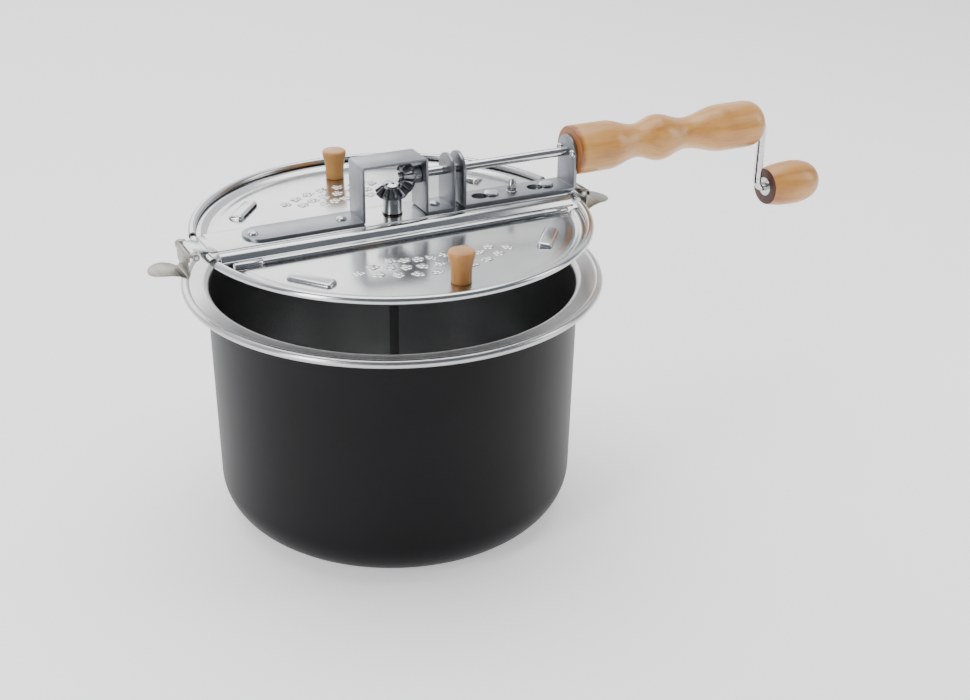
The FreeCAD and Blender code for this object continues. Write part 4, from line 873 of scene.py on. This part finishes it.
# Polished steel rod with bright plating: nearly a mirror, with faint lines along its length.
polished_rod, tree, shader = new_finish("polished_plated_rod", Metallic=1.0, Roughness=0.13)
coords = add_node(tree, "TexCoord").outputs["Object"]
draw_way = add_node(tree, "Mapping", Vector=coords, Scale=(8.0, 700.0, 700.0)).outputs["Vector"]
drawn = add_node(tree, "TexNoise", Vector=draw_way, Scale=1.0, Detail=2.0).outputs["Fac"]
add_node(tree, "ValToRGB", {"stops": [(0.3, "#c4c4c3"), (0.7, "#dddcda")],
                            "to": {"Color": shader.inputs["Base Color"]}}, Fac=drawn)
add_node(tree, "Bump", {"to": {"Normal": shader.inputs["Normal"]}}, Height=drawn, Distance=0.006 * MM)
for rod in ("stirrer_shaft", "stirrer_wire", "crank_rod"):
    finish_node(rod, polished_rod)

# Turned brass, browned by oil and heat, with tool rings about half a millimetre apart.
darkened_brass, tree, shader = new_finish("oil_darkened_brass", Metallic=1.0, Roughness=0.3)
coords = add_node(tree, "TexCoord").outputs["Object"]
lathe = add_node(tree, "TexWave", {"bands_direction": "Z"}, Vector=coords, Scale=600.0).outputs["Fac"]
add_node(tree, "ValToRGB", {"stops": [(0.3, "#4b4137"), (0.7, "#5e5246")],
                            "to": {"Color": shader.inputs["Base Color"]}}, Fac=lathe)
finish_node("stirrer_bush", darkened_brass)

# ------------------------------------------------------------------ handle bracket, rivets, stud and nut
# U-shaped bracket of 2 mm plated steel. Its two keyholes hook on shoulder rivets, and an acorn nut on a
# welded stud locks it.

HOLDER_SHEET = 2.0
HOLDER_MID = bar_top + HOLDER_SHEET / 2
INNER_EAR_X = 42
OUTER_EAR_X = 116.5
ear_top = AXIS_Z + BRACKET_HALF
path, widths = both_ends_rounded(rounded_path([
    (INNER_EAR_X, ear_top), (INNER_EAR_X, HOLDER_MID), (OUTER_EAR_X, HOLDER_MID), (OUTER_EAR_X, ear_top)],
    1.15, 4), BRACKET_HALF, BRACKET_HALF, BRACKET_HALF)
holder = strip("handle_bracket_sheet", path, HOLDER_SHEET, widths, 0.15)
place_piece(holder, (0, 0, lid_z))

# Each keyhole is a slot from the rivet's neck to a round opening that its head can pass.
RIVETS_X = (64.5, 102.0)
SLOT_LONG = 8
SLOT_HALF = 2.5
HEAD_PASS_R = 4.8
cutters = [drill(ROD_BORE, 100, (79, 0, lid_z + AXIS_Z), (0, 90, 0))]
for x in RIVETS_X:
    cutters.append(drill(HEAD_PASS_R, 6, (x - SLOT_LONG, 0, lid_z + HOLDER_MID)))
    cutters.append(block((SLOT_LONG, 2 * SLOT_HALF, 6), (x - SLOT_LONG / 2, 0, lid_z + HOLDER_MID)))
    cutters.append(drill(SLOT_HALF, 6, (x, 0, lid_z + HOLDER_MID)))
cut_away(holder, cutters)
smooth(holder, 35)
holder.data.materials.clear()
holder.data.materials.append(bracket_steel)
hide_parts("handle_bracket")
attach(holder, "lid_frame")

outline = [(0, -3), (1.6, -3), (1.6, -2.1), (2.4, -2.1), (2.4, 0), (4.2, 0), (4.5, 0.3), (4.5, 0.9),
           (4.1, 1.4), (3.0, 1.7), (0, 1.75)]
hook = turned("hook_rivet", outline, 36)
smooth(hook, 35)
place_piece(hook, (0, 0, lid_z + HOLDER_MID + 1.1))
hook_parts = [copied(hook, (x, 0, 0)) for x in RIVETS_X]
bpy.data.objects.remove(hook)
hooks = join("keyhole_rivet_heads", hook_parts)
hooks.data.materials.append(plated_steel)
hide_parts("keyhole_rivets")
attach(hooks, "lid_frame")

nut_low, nut_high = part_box("acorn_nut")
nut_x = (nut_low.x + nut_high.x) / 2 / MM
nut_z = nut_low.z / MM
NUT_FLATS = 5.5
HEX_HEIGHT = 3.4
bpy.ops.object.select_all(action="DESELECT")
bpy.ops.mesh.primitive_cylinder_add(vertices=6, radius=NUT_FLATS / math.sqrt(3) * MM, depth=HEX_HEIGHT * MM,
                                    rotation=(0, 0, math.pi / 6))
hexagon = bpy.context.object
bpy.ops.object.transform_apply(rotation=True)
round_edges(hexagon, 0.25, 3, 30)
smooth(hexagon, 35)
place_piece(hexagon, (nut_x, 0, nut_z + HEX_HEIGHT / 2))
dome = turned("nut_dome", [(0, 2.9), (2.72, 3.0), (2.74, 3.5), (2.55, 4.4), (2.3, 5.6), (2.0, 6.6)]
              + arc(1.1, 6.55, 0.9, 10, 90, 4) + [(0, 7.48)], 36)
smooth(dome, 45)
place_piece(dome, (nut_x, 0, nut_z))
outline = [(1.5, -0.6), (3.3, -0.6), (3.5, -0.45), (3.5, -0.15), (3.3, 0), (1.5, 0), (1.5, -0.6)]
washer = turned("nut_washer", outline, 36)
smooth(washer, 35)
place_piece(washer, (nut_x, 0, nut_z))
nut = join("acorn_nut_and_washer", [hexagon, dome, washer])
nut.data.materials.clear()
nut.data.materials.append(plated_steel)
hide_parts("acorn_nut", "bracket_washer")
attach(nut, "lid_frame")

# ------------------------------------------------------------------ handle and its screws
# Turned hardwood handle with two finger necks, clear lacquered and browner at the end by the bracket.
# Two round-head screws hold it to the outer ear.

grip_low, grip_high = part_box("handle")
grip_x = grip_low.x / MM
grip_end = grip_high.x / MM


def swell(points, steps=7):
    """Smooth change of radius through a few given stations."""
    out = []
    for (x0, r0), (x1, r1) in zip(points, points[1:]):
        for step in range(steps):
            share = (1 - math.cos(math.pi * step / steps)) / 2
            out.append((r0 + (r1 - r0) * share, x0 + (x1 - x0) * step / steps))
    return out


GRIP_BORE = 3.2
GRIP_TAIL_R = 14.95
grip_outline = [(GRIP_BORE, grip_x), (14.2, grip_x)] + arc(14.15, grip_x + 1.0, 1.0, -90, 0, 4)
grip_outline += swell([(142, 15.15), (164, 10.4), (180, 14.4), (200, 9.9), (228, GRIP_TAIL_R)], 9)
grip_outline += [(radius, grip_end - before_end) for radius, before_end in (
    (GRIP_TAIL_R, 29.5), (GRIP_TAIL_R, 11.5), (14.8, 8.9), (14.2, 6.1), (13.0, 3.5), (11.2, 1.5), (9.0, 0.4),
    (6.8, 0), (GRIP_BORE, 0))]
grip_outline.append((GRIP_BORE, grip_x))
grip = turned("handle_wood", grip_outline, 72)
smooth(grip, 45)
place_piece(grip, (0, 0, lid_z + AXIS_Z), (0, 90, 0))
golden_beech = lacquered_wood("golden_lacquered_beech", "#dba868", "#cc9048", "#98581e", "x", 0.32, 0.119)
grip.data.materials.append(golden_beech)
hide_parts("handle")
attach(grip, "lid_frame")

# Round head, flattened to two thirds above its edge, with a crossed slot.
SCREW_LONG = 15
SCREW_HEAD_R = 2.9
edge = SCREW_LONG + 0.1
outline = [(0, 0), (1.6, 0), (1.6, SCREW_LONG), (SCREW_HEAD_R, SCREW_LONG), (SCREW_HEAD_R, SCREW_LONG + 0.3)]
outline += arc(0, SCREW_LONG + 0.2, SCREW_HEAD_R, 8, 84, 6) + [(0, SCREW_LONG + 3.1)]
outline = [(radius, height if height < edge else edge + (height - edge) * 0.66) for radius, height in outline]
screw = turned("handle_screw", outline, 32)
cut_away(screw, [block((4, 0.7, 1.6), (0, 0, 17.2)), block((0.7, 4, 1.6), (0, 0, 17.2))])
smooth(screw, 40)
place_piece(screw, (130.5, 0, lid_z + AXIS_Z), (0, -90, 0))
screw_parts = [copied(screw, (0, y, 0)) for y in (-7.6, 7.6)]
bpy.data.objects.remove(screw)
screws = join("handle_screw_heads", screw_parts)
screws.data.materials.append(plated_steel)
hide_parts("handle_screws")
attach(screws, "lid_frame")

# ------------------------------------------------------------------ crank knob
# Egg-shaped turned knob that spins on the rod, with a dark face round its ferrule.

knob_low, knob_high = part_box("crank_knob")
knob_x = knob_low.x / MM
knob_z = (knob_low.z + knob_high.z) / 2 / MM
tip = knob_high.x / MM
outline = [(6.0, knob_x), (11.3, knob_x)] + arc(11.3, knob_x + 0.8, 0.8, -90, 0, 3)
outline += [(radius, knob_x + along) for radius, along in (
    (12.9, 4), (14.0, 10.4), (14.45, 17), (14.5, 22.8), (13.8, 29), (12.1, 34), (10.2, 37), (7.5, 39.4),
    (4.2, 41))]
outline.append((0, tip))
wooden_knob = turned("crank_knob_wood", outline, 56)
smooth(wooden_knob, 45)
place_piece(wooden_knob, (0, 0, knob_z), (0, 90, 0))
amber_beech = lacquered_wood("amber_lacquered_beech", "#cf9650", "#b8762c", "#7f430f", "x")
wooden_knob.data.materials.append(amber_beech)

# The sawn face round the ferrule, end grain, is coloured dark red brown.
end_grain, tree, shader = new_finish("dark_beech_end_face", Roughness=0.5)
coords = add_node(tree, "TexCoord").outputs["Object"]
pores = add_node(tree, "TexNoise", Vector=coords, Scale=700.0, Detail=3.0).outputs["Fac"]
add_node(tree, "ValToRGB", {"stops": [(0.3, "#34160c"), (0.7, "#4d2415")],
                            "to": {"Color": shader.inputs["Base Color"]}}, Fac=pores)
wooden_knob.data.materials.append(end_grain)
for face in wooden_knob.data.polygons:
    if face.center.x < (knob_x + 0.3) * MM:
        face.material_index = 1
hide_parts("crank_knob")
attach(wooden_knob, "crank_grip")
